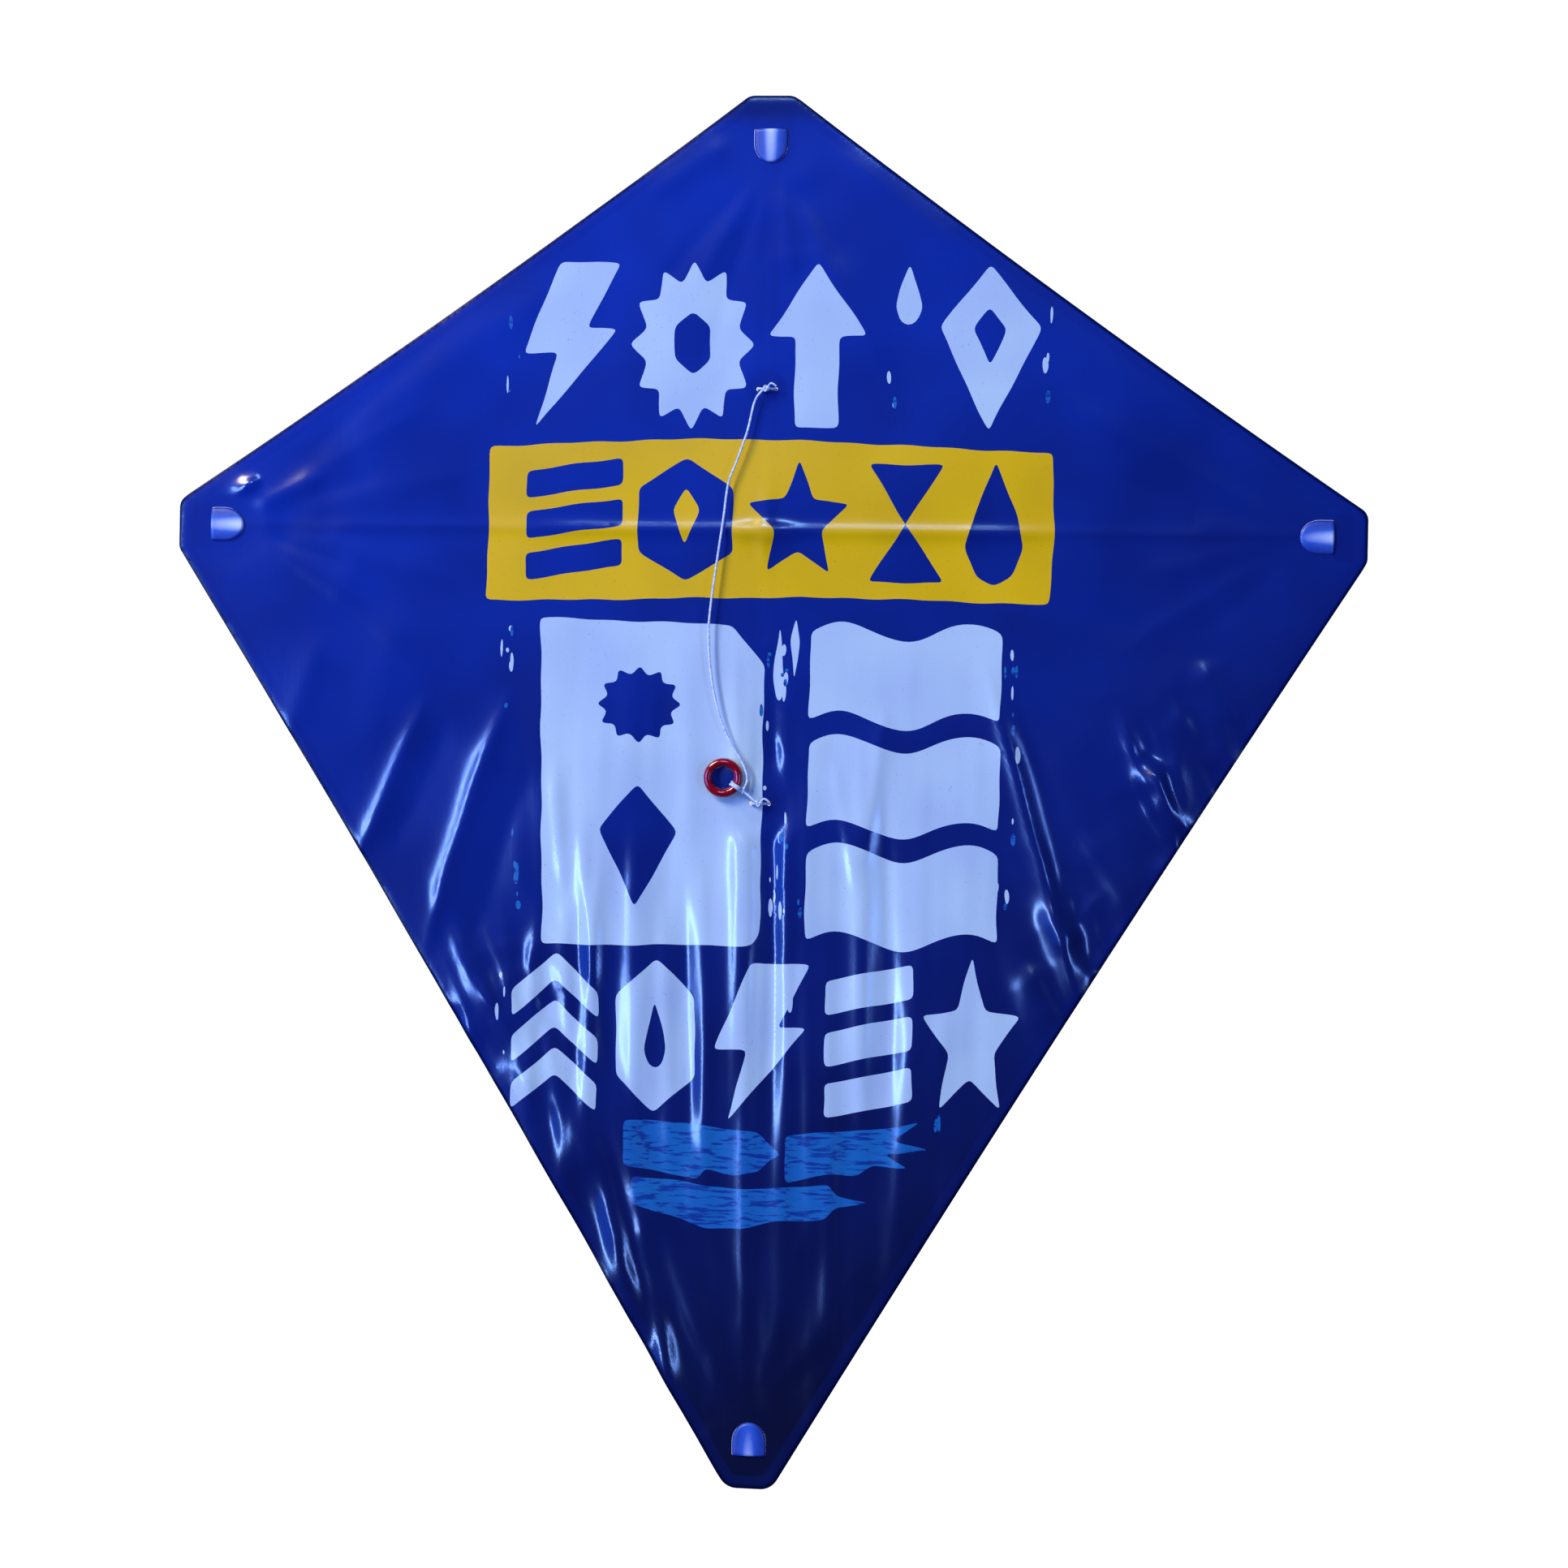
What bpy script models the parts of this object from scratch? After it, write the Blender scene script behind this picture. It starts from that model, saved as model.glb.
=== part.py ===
"""Diamond kite: a plastic film sail on a spine and a cross spar, with a two-leg bridle and a tow ring.

The spine stands along Z, the cross spar lies along X and the printed front faces -Y. The origin is the
middle of the centre connector's flat back.
"""

import math

import bmesh
import bpy
from mathutils import Matrix, Vector

# Driving dimensions, in metres. Across is along X, up is along Z, and a height is a distance towards the
# front from the connector's back, along -Y.
HALF_WIDTH = 0.300
NOSE_UP = 0.218  # from the crossing of the rods to the top edge
TAIL_DOWN = 0.482  # from the crossing to the bottom edge
SIDE_FLAT = 0.024  # each tip is cut off flat, by this length
NOSE_FLAT = 0.022
TAIL_FLAT = 0.023
SIDE_ROUND = 0.007  # radius of a tip's rounded shoulders
NOSE_ROUND = 0.008
TAIL_ROUND = 0.010
EDGE_BOW = 0.0025  # a taut free edge curves inwards by this much

ROD_RADIUS = 0.0015
GAP = 0.0003  # between pieces that touch
SPINE_HEIGHT = 0.0029  # of the spine's middle line in the connector
SPAR_HEIGHT = 0.0065  # of the cross spar's middle line, and of both rods in their caps
SAIL_BACK = 0.0092
SAIL_FRONT = 0.0096

WINDOW_INSET = 0.0165  # from a tip's edge to the flat side of the window that its cap shows through
WINDOW_LENGTH = 0.017
WINDOW_HALF = 0.0086
WINDOW_NOSE = 0.0095  # length of the window's round nose
WINDOW_CORNER = 0.0015  # radius of the corners of the window's flat side
CAP_HALF = 0.0085
CAP_HALF_THICK = 0.0024
CAP_PROUD = 0.0016  # how far a cap's boss stands out of the sail
CAP_OUTER = 0.0105  # how far a cap runs into its pocket, past the window
CAP_CORNER = 0.004  # radius of the corners of the cap's outer end
CAP_RIM = 0.0008  # bevel round the cap's body
BOSS_CLEARANCE = 0.0004  # between the boss and the window's edge
BOSS_RIM = 0.0014  # bevel round the boss
ROD_IN_CAP = 0.0025  # how far a rod runs past the window
POCKET_WALL = 0.0005
POCKET_MOUTH = 0.0008  # from the window's flat side to the open end of the pocket
POUCH_CORNER = 0.0045
MARGIN_HALF = 0.0115  # half the width of the pocket's welded margin
MARGIN_END = 0.014
MARGIN_CORNER = 0.006

SLEEVE_REACH = 0.014  # the connector's sleeves, from the crossing to their ends
SLEEVE_RADIUS = 0.0024
PAD_HALF = 0.008
PAD_CORNER = 0.002
PAD_THICK = 0.001
CORE_HALF = 0.0046
OVERLAP = 0.0005  # how far solids that are joined run into each other
CUT_PAST = 0.001  # how far a cutter runs past what it cuts

CORD_RADIUS = 0.0006
CORD_STEP = 0.003  # between the points of a leg's route
TIE_HALF = 0.0045  # a tie's two holes are this far either side of the spine
TIE_HOLE_RADIUS = 0.001
TIE_BEND = 0.002  # radius of the corners of a tie's loop
PATCH_RADIUS = 0.010
PATCH_THICK = 0.0003
UPPER_TIE = 0.071
LOWER_TIE = -0.137
BRIDLE_HEIGHT = 0.0136  # the bridle's swing axis, through the knots of both ties
TIE_SLACK = 0.0016  # between the sail and the front of a tie's loop
TIE_KNOT_RADIUS = 0.0019
RING_CENTRE = (-0.0184, -0.1243)
RING_RADIUS = 0.0078  # to the middle of the ring's own round section
RING_SECTION = 0.0021
HITCH_TURN = math.radians(-32)  # where on the ring the line is hitched
HITCH_REACH = 0.0118  # from the ring's centre to the hitch's knot
HITCH_KNOT_RADIUS = 0.0015
WRAP_OFFSET = 0.0008  # of each turn of the hitch from the hitch's middle

# The upper leg hangs in a slack curve to the left of the spine and passes the ring on its right.
UPPER_LEG = [
    (-0.0023, 0.0696),
    (-0.0058, 0.0640),
    (-0.0090, 0.0500),
    (-0.0140, 0.0350),
    (-0.0183, 0.0230),
    (-0.0205, 0.0054),
    (-0.0238, -0.0191),
    (-0.0262, -0.0390),
    (-0.0270, -0.0540),
    (-0.0252, -0.0740),
    (-0.0205, -0.0940),
    (-0.0140, -0.1080),
    (-0.0096, -0.1150),
    (-0.0069, -0.1210),
    (-0.0062, -0.1255),
    (-0.0073, -0.1287),
]

CORNERS = {"right": 0, "nose": 90, "left": 180, "tail": 270}


def empty_scene():
    for old in list(bpy.data.objects):
        bpy.data.objects.remove(old, do_unlink=True)


def new_collection(name):
    made = bpy.data.collections.new(name)
    bpy.context.scene.collection.children.link(made)
    return made


def new_material(name, colour, roughness):
    made = bpy.data.materials.new(name)
    made.use_nodes = True
    shader = made.node_tree.nodes["Principled BSDF"]
    shader.inputs["Base Color"].default_value = (*colour, 1.0)
    shader.inputs["Roughness"].default_value = roughness
    shader.inputs["Metallic"].default_value = 0.0
    return made


def new_empty(name, parent, location):
    made = bpy.data.objects.new(name, None)
    kite.objects.link(made)
    made.parent = parent
    made.location = location
    return made


def finish_piece(obj, parent, material, location=(0, 0, 0), turn=0.0):
    """Puts a piece in the kite's collection, on its parent, in its own finish."""
    for holder in list(obj.users_collection):
        holder.objects.unlink(obj)
    kite.objects.link(obj)
    obj.parent = parent
    obj.location = location
    obj.rotation_euler = (0, 0, turn)
    obj.data.materials.clear()
    obj.data.materials.append(material)
    return obj


def evaluated_mesh(obj):
    """A piece's mesh with its modifiers or its curve applied; the piece itself is removed."""
    graph = bpy.context.evaluated_depsgraph_get()
    mesh = bpy.data.meshes.new_from_object(obj.evaluated_get(graph))
    work = bmesh.new()
    work.from_mesh(mesh)
    bmesh.ops.remove_doubles(work, verts=work.verts, dist=1e-6)
    bmesh.ops.recalc_face_normals(work, faces=work.faces)
    work.to_mesh(mesh)
    work.free()
    bpy.data.objects.remove(obj, do_unlink=True)
    return mesh


def mesh_object(name, mesh):
    made = bpy.data.objects.new(name, mesh)
    helpers.objects.link(made)
    made.hide_render = True
    made.display_type = "WIRE"
    return made


def plate(name, outline, low, high):
    """A flat piece with an outline in its own XY plane, between two heights."""
    curve = bpy.data.curves.new(name, "CURVE")
    curve.dimensions = "2D"
    curve.fill_mode = "BOTH"
    curve.extrude = (high - low) / 2
    spline = curve.splines.new("POLY")
    spline.points.add(len(outline) - 1)
    for point, (x, y) in zip(spline.points, outline):
        point.co = (x, y, 0, 1)
    spline.use_cyclic_u = True
    drawn = bpy.data.objects.new(name, curve)
    helpers.objects.link(drawn)
    mesh = evaluated_mesh(drawn)
    bpy.data.curves.remove(curve)
    mesh.transform(Matrix.Translation((0, 0, (low + high) / 2)))
    return mesh_object(name, mesh)


def rod_mesh(name, radius, start, end, sides=24):
    """A round bar between two points."""
    start, end = Vector(start), Vector(end)
    work = bmesh.new()
    bmesh.ops.create_cone(
        work,
        cap_ends=True,
        segments=sides,
        radius1=radius,
        radius2=radius,
        depth=(end - start).length,
    )
    turn = (end - start).to_track_quat("Z", "Y").to_matrix().to_4x4()
    work.transform(Matrix.Translation((start + end) / 2) @ turn)
    mesh = bpy.data.meshes.new(name)
    work.to_mesh(mesh)
    work.free()
    return mesh_object(name, mesh)


def ball_mesh(name, radius, centre):
    work = bmesh.new()
    bmesh.ops.create_uvsphere(work, u_segments=16, v_segments=10, radius=radius)
    work.transform(Matrix.Translation(centre))
    mesh = bpy.data.meshes.new(name)
    work.to_mesh(mesh)
    work.free()
    return mesh_object(name, mesh)


def box_mesh(name, low, high):
    work = bmesh.new()
    bmesh.ops.create_cube(work, size=1)
    size = [b - a for a, b in zip(low, high)]
    middle = [(a + b) / 2 for a, b in zip(low, high)]
    bmesh.ops.scale(work, vec=size, verts=work.verts)
    work.transform(Matrix.Translation(middle))
    mesh = bpy.data.meshes.new(name)
    work.to_mesh(mesh)
    work.free()
    return mesh_object(name, mesh)


def add_bevel(obj, width, segments):
    whole = obj.modifiers.new("whole_faces", "DECIMATE")
    whole.decimate_type = "DISSOLVE"
    whole.angle_limit = math.radians(0.5)
    bevel = obj.modifiers.new("rounded_rim", "BEVEL")
    bevel.width = width
    bevel.segments = segments
    bevel.limit_method = "ANGLE"
    bevel.angle_limit = math.radians(50)


def cut_or_join(obj, other, operation):
    step = obj.modifiers.new(other.name, "BOOLEAN")
    step.operation = operation
    step.solver = "EXACT"
    step.object = other


def combined_mesh(base, joined, cutters):
    """One mesh from a base with pieces joined to it and cutters taken away."""
    for other in joined:
        cut_or_join(base, other, "UNION")
    for other in cutters:
        cut_or_join(base, other, "DIFFERENCE")
    mesh = evaluated_mesh(base)
    for other in [*joined, *cutters]:
        bpy.data.objects.remove(other, do_unlink=True)
    return mesh


def shade_round(mesh, angle=35):
    mesh.shade_smooth()
    mesh.set_sharp_from_angle(angle=math.radians(angle))


def cord_curve(name, points, radius, closed=False):
    """A round line along points, as a curve with filled ends."""
    curve = bpy.data.curves.new(name, "CURVE")
    curve.dimensions = "3D"
    curve.bevel_depth = radius
    curve.bevel_resolution = 2
    curve.use_fill_caps = not closed
    spline = curve.splines.new("POLY")
    spline.points.add(len(points) - 1)
    for point, place in zip(spline.points, points):
        point.co = (*place, 1)
    spline.use_cyclic_u = closed
    return bpy.data.objects.new(name, curve)


def smooth_route(points, spacing):
    """Points at an even spacing on a smooth curve through the route's own points."""
    route = [Vector(p) for p in points]
    dense = []
    for i in range(len(route) - 1):
        before = route[max(i - 1, 0)]
        start, end = route[i], route[i + 1]
        after = route[min(i + 2, len(route) - 1)]
        for step in range(20):
            t = step / 20
            dense.append(
                0.5
                * (
                    2 * start
                    + (end - before) * t
                    + (2 * before - 5 * start + 4 * end - after) * t**2
                    + (3 * start - before - 3 * end + after) * t**3
                )
            )
    dense.append(route[-1])
    lengths = [(b - a).length for a, b in zip(dense, dense[1:])]
    count = max(2, round(sum(lengths) / spacing))
    step = sum(lengths) / count
    spaced, walked, wanted = [dense[0]], 0.0, step
    for (a, b), length in zip(zip(dense, dense[1:]), lengths):
        while walked + length >= wanted and len(spaced) < count:
            spaced.append(a.lerp(b, (wanted - walked) / length))
            wanted += step
        walked += length
    return [*spaced, dense[-1]]


def arc(centre, radius, start, end, steps):
    """Points on an arc, by angles in degrees; radius may be a pair for an ellipse."""
    across, along = radius if isinstance(radius, tuple) else (radius, radius)
    angles = [math.radians(start + (end - start) * i / steps) for i in range(steps + 1)]
    return [(centre[0] + across * math.cos(a), centre[1] + along * math.sin(a)) for a in angles]


def sail_outline():
    """The sail's edge: four flat tips with rounded shoulders, joined by edges that bow inwards."""
    nose, tail, side = NOSE_FLAT / 2, TAIL_FLAT / 2, SIDE_FLAT / 2
    corners = [
        ((HALF_WIDTH, side), SIDE_ROUND),
        ((nose, NOSE_UP), NOSE_ROUND),
        ((-nose, NOSE_UP), NOSE_ROUND),
        ((-HALF_WIDTH, side), SIDE_ROUND),
        ((-HALF_WIDTH, -side), SIDE_ROUND),
        ((-tail, -TAIL_DOWN), TAIL_ROUND),
        ((tail, -TAIL_DOWN), TAIL_ROUND),
        ((HALF_WIDTH, -side), SIDE_ROUND),
    ]
    outline = []
    for i, (corner, radius) in enumerate(corners):
        here = Vector(corner)
        back = (Vector(corners[i - 1][0]) - here).normalized()
        onward = (Vector(corners[(i + 1) % len(corners)][0]) - here).normalized()
        half_angle = back.angle(onward) / 2
        middle = here + (back + onward).normalized() * radius / math.sin(half_angle)
        first = here + back * radius / math.tan(half_angle)
        last = here + onward * radius / math.tan(half_angle)
        if outline and (first - outline[-1]).length > 2 * SIDE_FLAT:
            outline += bowed_edge(outline[-1], first)
        outward_first = (first - middle).normalized()
        outward_last = (last - middle).normalized()
        for step in range(7):
            outline.append(middle + outward_first.slerp(outward_last, step / 6) * radius)
    return [tuple(p) for p in outline]


def bowed_edge(start, end, steps=12):
    """The points between the two ends of a long free edge."""
    inward = (start + end).normalized() * -1
    points = []
    for step in range(1, steps):
        t = step / steps
        points.append(start.lerp(end, t) + inward * EDGE_BOW * 4 * t * (1 - t))
    return points


def window_outline(grow=0.0, outer=0.0):
    """A bullet shape: a round nose inwards (-X), straight sides, and a flat outer side (at +X)."""
    half = WINDOW_HALF + grow
    end = outer + grow
    round_corner = CAP_CORNER if outer else WINDOW_CORNER
    back = -WINDOW_LENGTH + WINDOW_NOSE
    points = arc((back, 0), (WINDOW_NOSE + grow, half), 90, 270, 16)
    points += arc((end - round_corner, -half + round_corner), round_corner, 270, 360, 4)
    points += arc((end - round_corner, half - round_corner), round_corner, 0, 90, 4)
    return points


def tip_distance(corner):
    """From the crossing of the rods to the flat side of a corner's window."""
    reach = {"right": HALF_WIDTH, "left": HALF_WIDTH, "nose": NOSE_UP, "tail": TAIL_DOWN}
    return reach[corner] - WINDOW_INSET


def tip_place(corner):
    """The place of a corner's window on the drawing board, and the turn of its outward direction."""
    turn = math.radians(CORNERS[corner])
    distance = tip_distance(corner)
    return (distance * math.cos(turn), distance * math.sin(turn), 0), turn


def spine_height(up):
    """The spine bends forwards from the connector to both caps, and lies level in all three."""
    end = tip_distance("nose") if up > 0 else tip_distance("tail")
    t = min(abs(up) / (end - WINDOW_LENGTH), 1)
    return SPINE_HEIGHT + (SPAR_HEIGHT - SPINE_HEIGHT) * (3 * t**2 - 2 * t**3)


def make_sail(board):
    sail = plate("sail_sheet", sail_outline(), SAIL_BACK, SAIL_FRONT)
    cutters = []
    for corner in CORNERS:
        window = plate("window_" + corner, window_outline(), SAIL_BACK - GAP, SAIL_FRONT + GAP)
        window.location, turn = tip_place(corner)
        window.rotation_euler = (0, 0, turn)
        cutters.append(window)
    for up in (UPPER_TIE, LOWER_TIE):
        for side in (-1, 1):
            across = side * TIE_HALF
            ends = [(across, up, SAIL_BACK - GAP), (across, up, SAIL_FRONT + GAP)]
            cutters.append(rod_mesh("tie_hole", TIE_HOLE_RADIUS, *ends, sides=16))
    bpy.context.view_layer.update()
    mesh = combined_mesh(sail, [], cutters)
    finish_piece(bpy.data.objects.new("sail", mesh), board, film_blue)


def make_rods(board):
    spine_top = tip_distance("nose") + ROD_IN_CAP
    spine_bottom = -tip_distance("tail") - ROD_IN_CAP
    count = 44
    places = [spine_bottom + (spine_top - spine_bottom) * i / count for i in range(count + 1)]
    spine = cord_curve("spine", [(0, up, spine_height(up)) for up in places], ROD_RADIUS)
    spine.data.bevel_resolution = 4
    finish_piece(spine, board, fibreglass)
    reach = tip_distance("right") + ROD_IN_CAP
    ends = [(-reach, 0, SPAR_HEIGHT), (reach, 0, SPAR_HEIGHT)]
    spar = rod_mesh("cross_spar", ROD_RADIUS, *ends)
    shade_round(spar.data)
    spar.hide_render = False
    spar.display_type = "TEXTURED"
    finish_piece(spar, board, fibreglass)


def make_connector(board):
    """Two crossed sleeves, one for each rod, on a flat back pad."""
    flat = PAD_HALF - PAD_CORNER
    corners = []
    for turn, across, along in ((0, 1, 1), (90, -1, 1), (180, -1, -1), (270, 1, -1)):
        corners += arc((across * flat, along * flat), PAD_CORNER, turn, turn + 90, 5)
    base = plate("connector_pad", corners, 0, PAD_THICK)
    core_low = (-CORE_HALF, -CORE_HALF, PAD_THICK - OVERLAP)
    reach = SLEEVE_REACH
    spine_ends = [(0, -reach, SPINE_HEIGHT), (0, reach, SPINE_HEIGHT)]
    spar_ends = [(-reach, 0, SPAR_HEIGHT), (reach, 0, SPAR_HEIGHT)]
    joined = [
        box_mesh("connector_core", core_low, (CORE_HALF, CORE_HALF, SPAR_HEIGHT)),
        rod_mesh("spine_sleeve", SLEEVE_RADIUS, *spine_ends),
        rod_mesh("spar_sleeve", SLEEVE_RADIUS, *spar_ends),
    ]
    bore, past = ROD_RADIUS + GAP, reach + CUT_PAST
    cutters = [
        rod_mesh("spine_bore", bore, (0, -past, SPINE_HEIGHT), (0, past, SPINE_HEIGHT)),
        rod_mesh("spar_bore", bore, (-past, 0, SPAR_HEIGHT), (past, 0, SPAR_HEIGHT)),
    ]
    mesh = combined_mesh(base, joined, cutters)
    shade_round(mesh)
    finish_piece(bpy.data.objects.new("centre_connector", mesh), board, milky_plastic)


def make_caps(board):
    """A cap is a flat bullet on the rod's end. Its boss shows at the front through the sail's window."""
    inset = CAP_HALF - WINDOW_HALF
    body_low, body_high = SPAR_HEIGHT - CAP_HALF_THICK, SPAR_HEIGHT + CAP_HALF_THICK
    body = plate("cap_body", window_outline(inset, CAP_OUTER), body_low, body_high)
    add_bevel(body, CAP_RIM, 2)
    boss_top = SAIL_FRONT + CAP_PROUD
    boss = plate("cap_boss", window_outline(-BOSS_CLEARANCE), SPAR_HEIGHT, boss_top)
    add_bevel(boss, BOSS_RIM, 3)
    mouth = -WINDOW_LENGTH - CUT_PAST
    ends = [(mouth, 0, SPAR_HEIGHT), (ROD_IN_CAP + GAP, 0, SPAR_HEIGHT)]
    socket = rod_mesh("cap_socket", ROD_RADIUS + GAP, *ends)
    mesh = combined_mesh(body, [boss], [socket])
    shade_round(mesh)
    for corner in CORNERS:
        cap = bpy.data.objects.new(corner + "_cap", mesh)
        finish_piece(cap, board, milky_plastic, *tip_place(corner))


def pocket_outline(mouth, half, end, corner):
    """Open and straight at the mouth, with rounded corners at the outer end."""
    outline = [(mouth, half), (mouth, -half)]
    outline += arc((end - corner, -half + corner), corner, 270, 360, 6)
    outline += arc((end - corner, half - corner), corner, 0, 90, 6)
    return outline


def make_pockets(board):
    """A pocket is a pouch of film, welded to the sail's back by a flat margin, over a cap's outer end."""
    top = SAIL_BACK - GAP
    room_back = SPAR_HEIGHT - CAP_HALF_THICK - GAP
    room_half = CAP_HALF + GAP
    room_end = CAP_OUTER + GAP
    outline = pocket_outline(POCKET_MOUTH, MARGIN_HALF, MARGIN_END, MARGIN_CORNER)
    margin = plate("pocket_margin", outline, top - POCKET_WALL, top)
    half, end = room_half + POCKET_WALL, room_end + POCKET_WALL
    outline = pocket_outline(POCKET_MOUTH, half, end, POUCH_CORNER)
    pouch = plate("pocket_pouch", outline, room_back - POCKET_WALL, top)
    mouth, inner = POCKET_MOUTH - CUT_PAST, POUCH_CORNER - POCKET_WALL
    outline = pocket_outline(mouth, room_half, room_end, inner)
    room = plate("pocket_room", outline, room_back, top + CUT_PAST)
    mesh = combined_mesh(margin, [pouch], [room])
    for corner in CORNERS:
        pocket = bpy.data.objects.new(corner + "_pocket", mesh)
        finish_piece(pocket, board, film_blue, *tip_place(corner))


def make_tie(board, name, up):
    """The bridle's end: a loop through the sail's two holes and round the spine, with a knot in front."""
    front = SAIL_FRONT + TIE_SLACK + CORD_RADIUS
    back = spine_height(up) - ROD_RADIUS - GAP - CORD_RADIUS
    loop = []
    for across, height, start in (
        (TIE_HALF, front, 0),
        (-TIE_HALF, front, 90),
        (-TIE_HALF, back, 180),
        (TIE_HALF, back, 270),
    ):
        middle_across = across - math.copysign(TIE_BEND, across)
        middle_height = front - TIE_BEND if height == front else back + TIE_BEND
        loop += arc((middle_across, middle_height), TIE_BEND, start, start + 90, 5)
    ring = cord_curve(name + "_loop", [(x, up, h) for x, h in loop], CORD_RADIUS, closed=True)
    helpers.objects.link(ring)
    ring = mesh_object(name + "_ring", evaluated_mesh(ring))
    knot = ball_mesh(name + "_knot", TIE_KNOT_RADIUS, (0, up, BRIDLE_HEIGHT))
    mesh = combined_mesh(ring, [knot], [])
    shade_round(mesh)
    finish_piece(bpy.data.objects.new(name, mesh), board, braided_line)


def make_tie_patch(board, name, up):
    """A disc of film that keeps a tie's holes from tearing, on the sail's back."""
    top = SAIL_BACK - GAP
    rim = arc((0, up), PATCH_RADIUS, 0, 352.5, 47)
    disc = plate(name + "_disc", rim, top - PATCH_THICK, top)
    holes = []
    for side in (-1, 1):
        across = side * TIE_HALF
        ends = [(across, up, top - CUT_PAST), (across, up, top + CUT_PAST)]
        holes.append(rod_mesh("patch_hole", TIE_HOLE_RADIUS, *ends, sides=16))
    mesh = combined_mesh(disc, [], holes)
    finish_piece(bpy.data.objects.new(name, mesh), board, film_blue)


def make_bridle(axis, knot_place):
    """Both legs swing together about the line through the two ties' knots."""
    route = [(x, y, 0) for x, y in UPPER_LEG]
    upper = cord_curve("bridle_upper_leg", smooth_route(route, CORD_STEP), CORD_RADIUS)
    finish_piece(upper, axis, braided_line)
    knot = Vector((knot_place[0], knot_place[1], 0))
    tie = Vector((0, LOWER_TIE, 0))
    way = (tie - knot).normalized()
    start = knot + way * (HITCH_KNOT_RADIUS + GAP)
    end = tie - way * (TIE_KNOT_RADIUS + GAP)
    lower = cord_curve("bridle_lower_leg", smooth_route([start, end], CORD_STEP), CORD_RADIUS)
    finish_piece(lower, axis, braided_line)


def make_ring(pivot, ring_centre):
    """The tow ring, and the hitch that is wrapped twice round it and ends in a knot at the pivot."""
    bpy.ops.mesh.primitive_torus_add(
        major_segments=48,
        minor_segments=16,
        major_radius=RING_RADIUS,
        minor_radius=RING_SECTION,
    )
    ring = bpy.context.object
    ring.name = "tow_ring"
    ring.data.shade_smooth()
    finish_piece(ring, pivot, ring_red, ring_centre)
    outward = Vector((math.cos(HITCH_TURN), math.sin(HITCH_TURN), 0))
    tangent = Vector((-outward.y, outward.x, 0))
    middle = Vector(ring_centre) + outward * RING_RADIUS
    wrap_radius = RING_SECTION + GAP + CORD_RADIUS
    wraps = []
    for side in (-1, 1):
        loop = []
        for x, h in arc((0, 0), wrap_radius, 0, 345, 23):
            loop.append(middle + tangent * side * WRAP_OFFSET + outward * x + Vector((0, 0, h)))
        wrap = cord_curve("hitch_wrap", loop, CORD_RADIUS, closed=True)
        helpers.objects.link(wrap)
        wraps.append(mesh_object("hitch_turn", evaluated_mesh(wrap)))
    knot = ball_mesh("hitch_knot", HITCH_KNOT_RADIUS, (0, 0, 0))
    mesh = combined_mesh(knot, wraps, [])
    shade_round(mesh)
    finish_piece(bpy.data.objects.new("ring_hitch", mesh), pivot, braided_line)


empty_scene()
kite = new_collection("diamond_kite")
helpers = new_collection("helpers")
film_blue = new_material("glossy_blue_film", (0.010, 0.035, 0.38), 0.22)
milky_plastic = new_material("milky_white_plastic", (0.72, 0.78, 0.88), 0.35)
fibreglass = new_material("pale_fibreglass", (0.62, 0.64, 0.60), 0.40)
braided_line = new_material("white_braided_line", (0.66, 0.72, 0.80), 0.60)
ring_red = new_material("glossy_red_plastic", (0.42, 0.006, 0.015), 0.15)

# The drawing board stands upright: its X is across, its Y is up and its Z is the height towards the front.
board = new_empty("drawing_board", None, (0, 0, 0))
board.rotation_euler = (math.pi / 2, 0, 0)
bridle_axis = new_empty("bridle_axis", board, (0, 0, BRIDLE_HEIGHT))
outward = (math.cos(HITCH_TURN), math.sin(HITCH_TURN))
knot_place = [c + HITCH_REACH * o for c, o in zip(RING_CENTRE, outward)]
ring_pivot = new_empty("ring_pivot", bridle_axis, (*knot_place, 0))
ring_centre = [c - k for c, k in zip(RING_CENTRE, knot_place)] + [0]

make_sail(board)
make_rods(board)
make_connector(board)
make_caps(board)
make_pockets(board)
for side, up in (("upper", UPPER_TIE), ("lower", LOWER_TIE)):
    make_tie(board, side + "_tie", up)
    make_tie_patch(board, side + "_tie_patch", up)
make_bridle(bridle_axis, knot_place)
make_ring(ring_pivot, ring_centre)
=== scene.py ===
# %% [markdown]
# # A diamond kite of printed film
# The kite is a thin sheet of glossy blue plastic, stretched over two crossed rods. Four milky caps hold
# the rods' ends, and a thin bridle line with a red ring hangs in front. The frame is the CAD model; every
# piece below is made around it, in metres, with the kite standing up along Z and its print facing -Y.

import math

import bpy
import numpy as np
from mathutils import Matrix, Vector, geometry, kdtree


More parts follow.
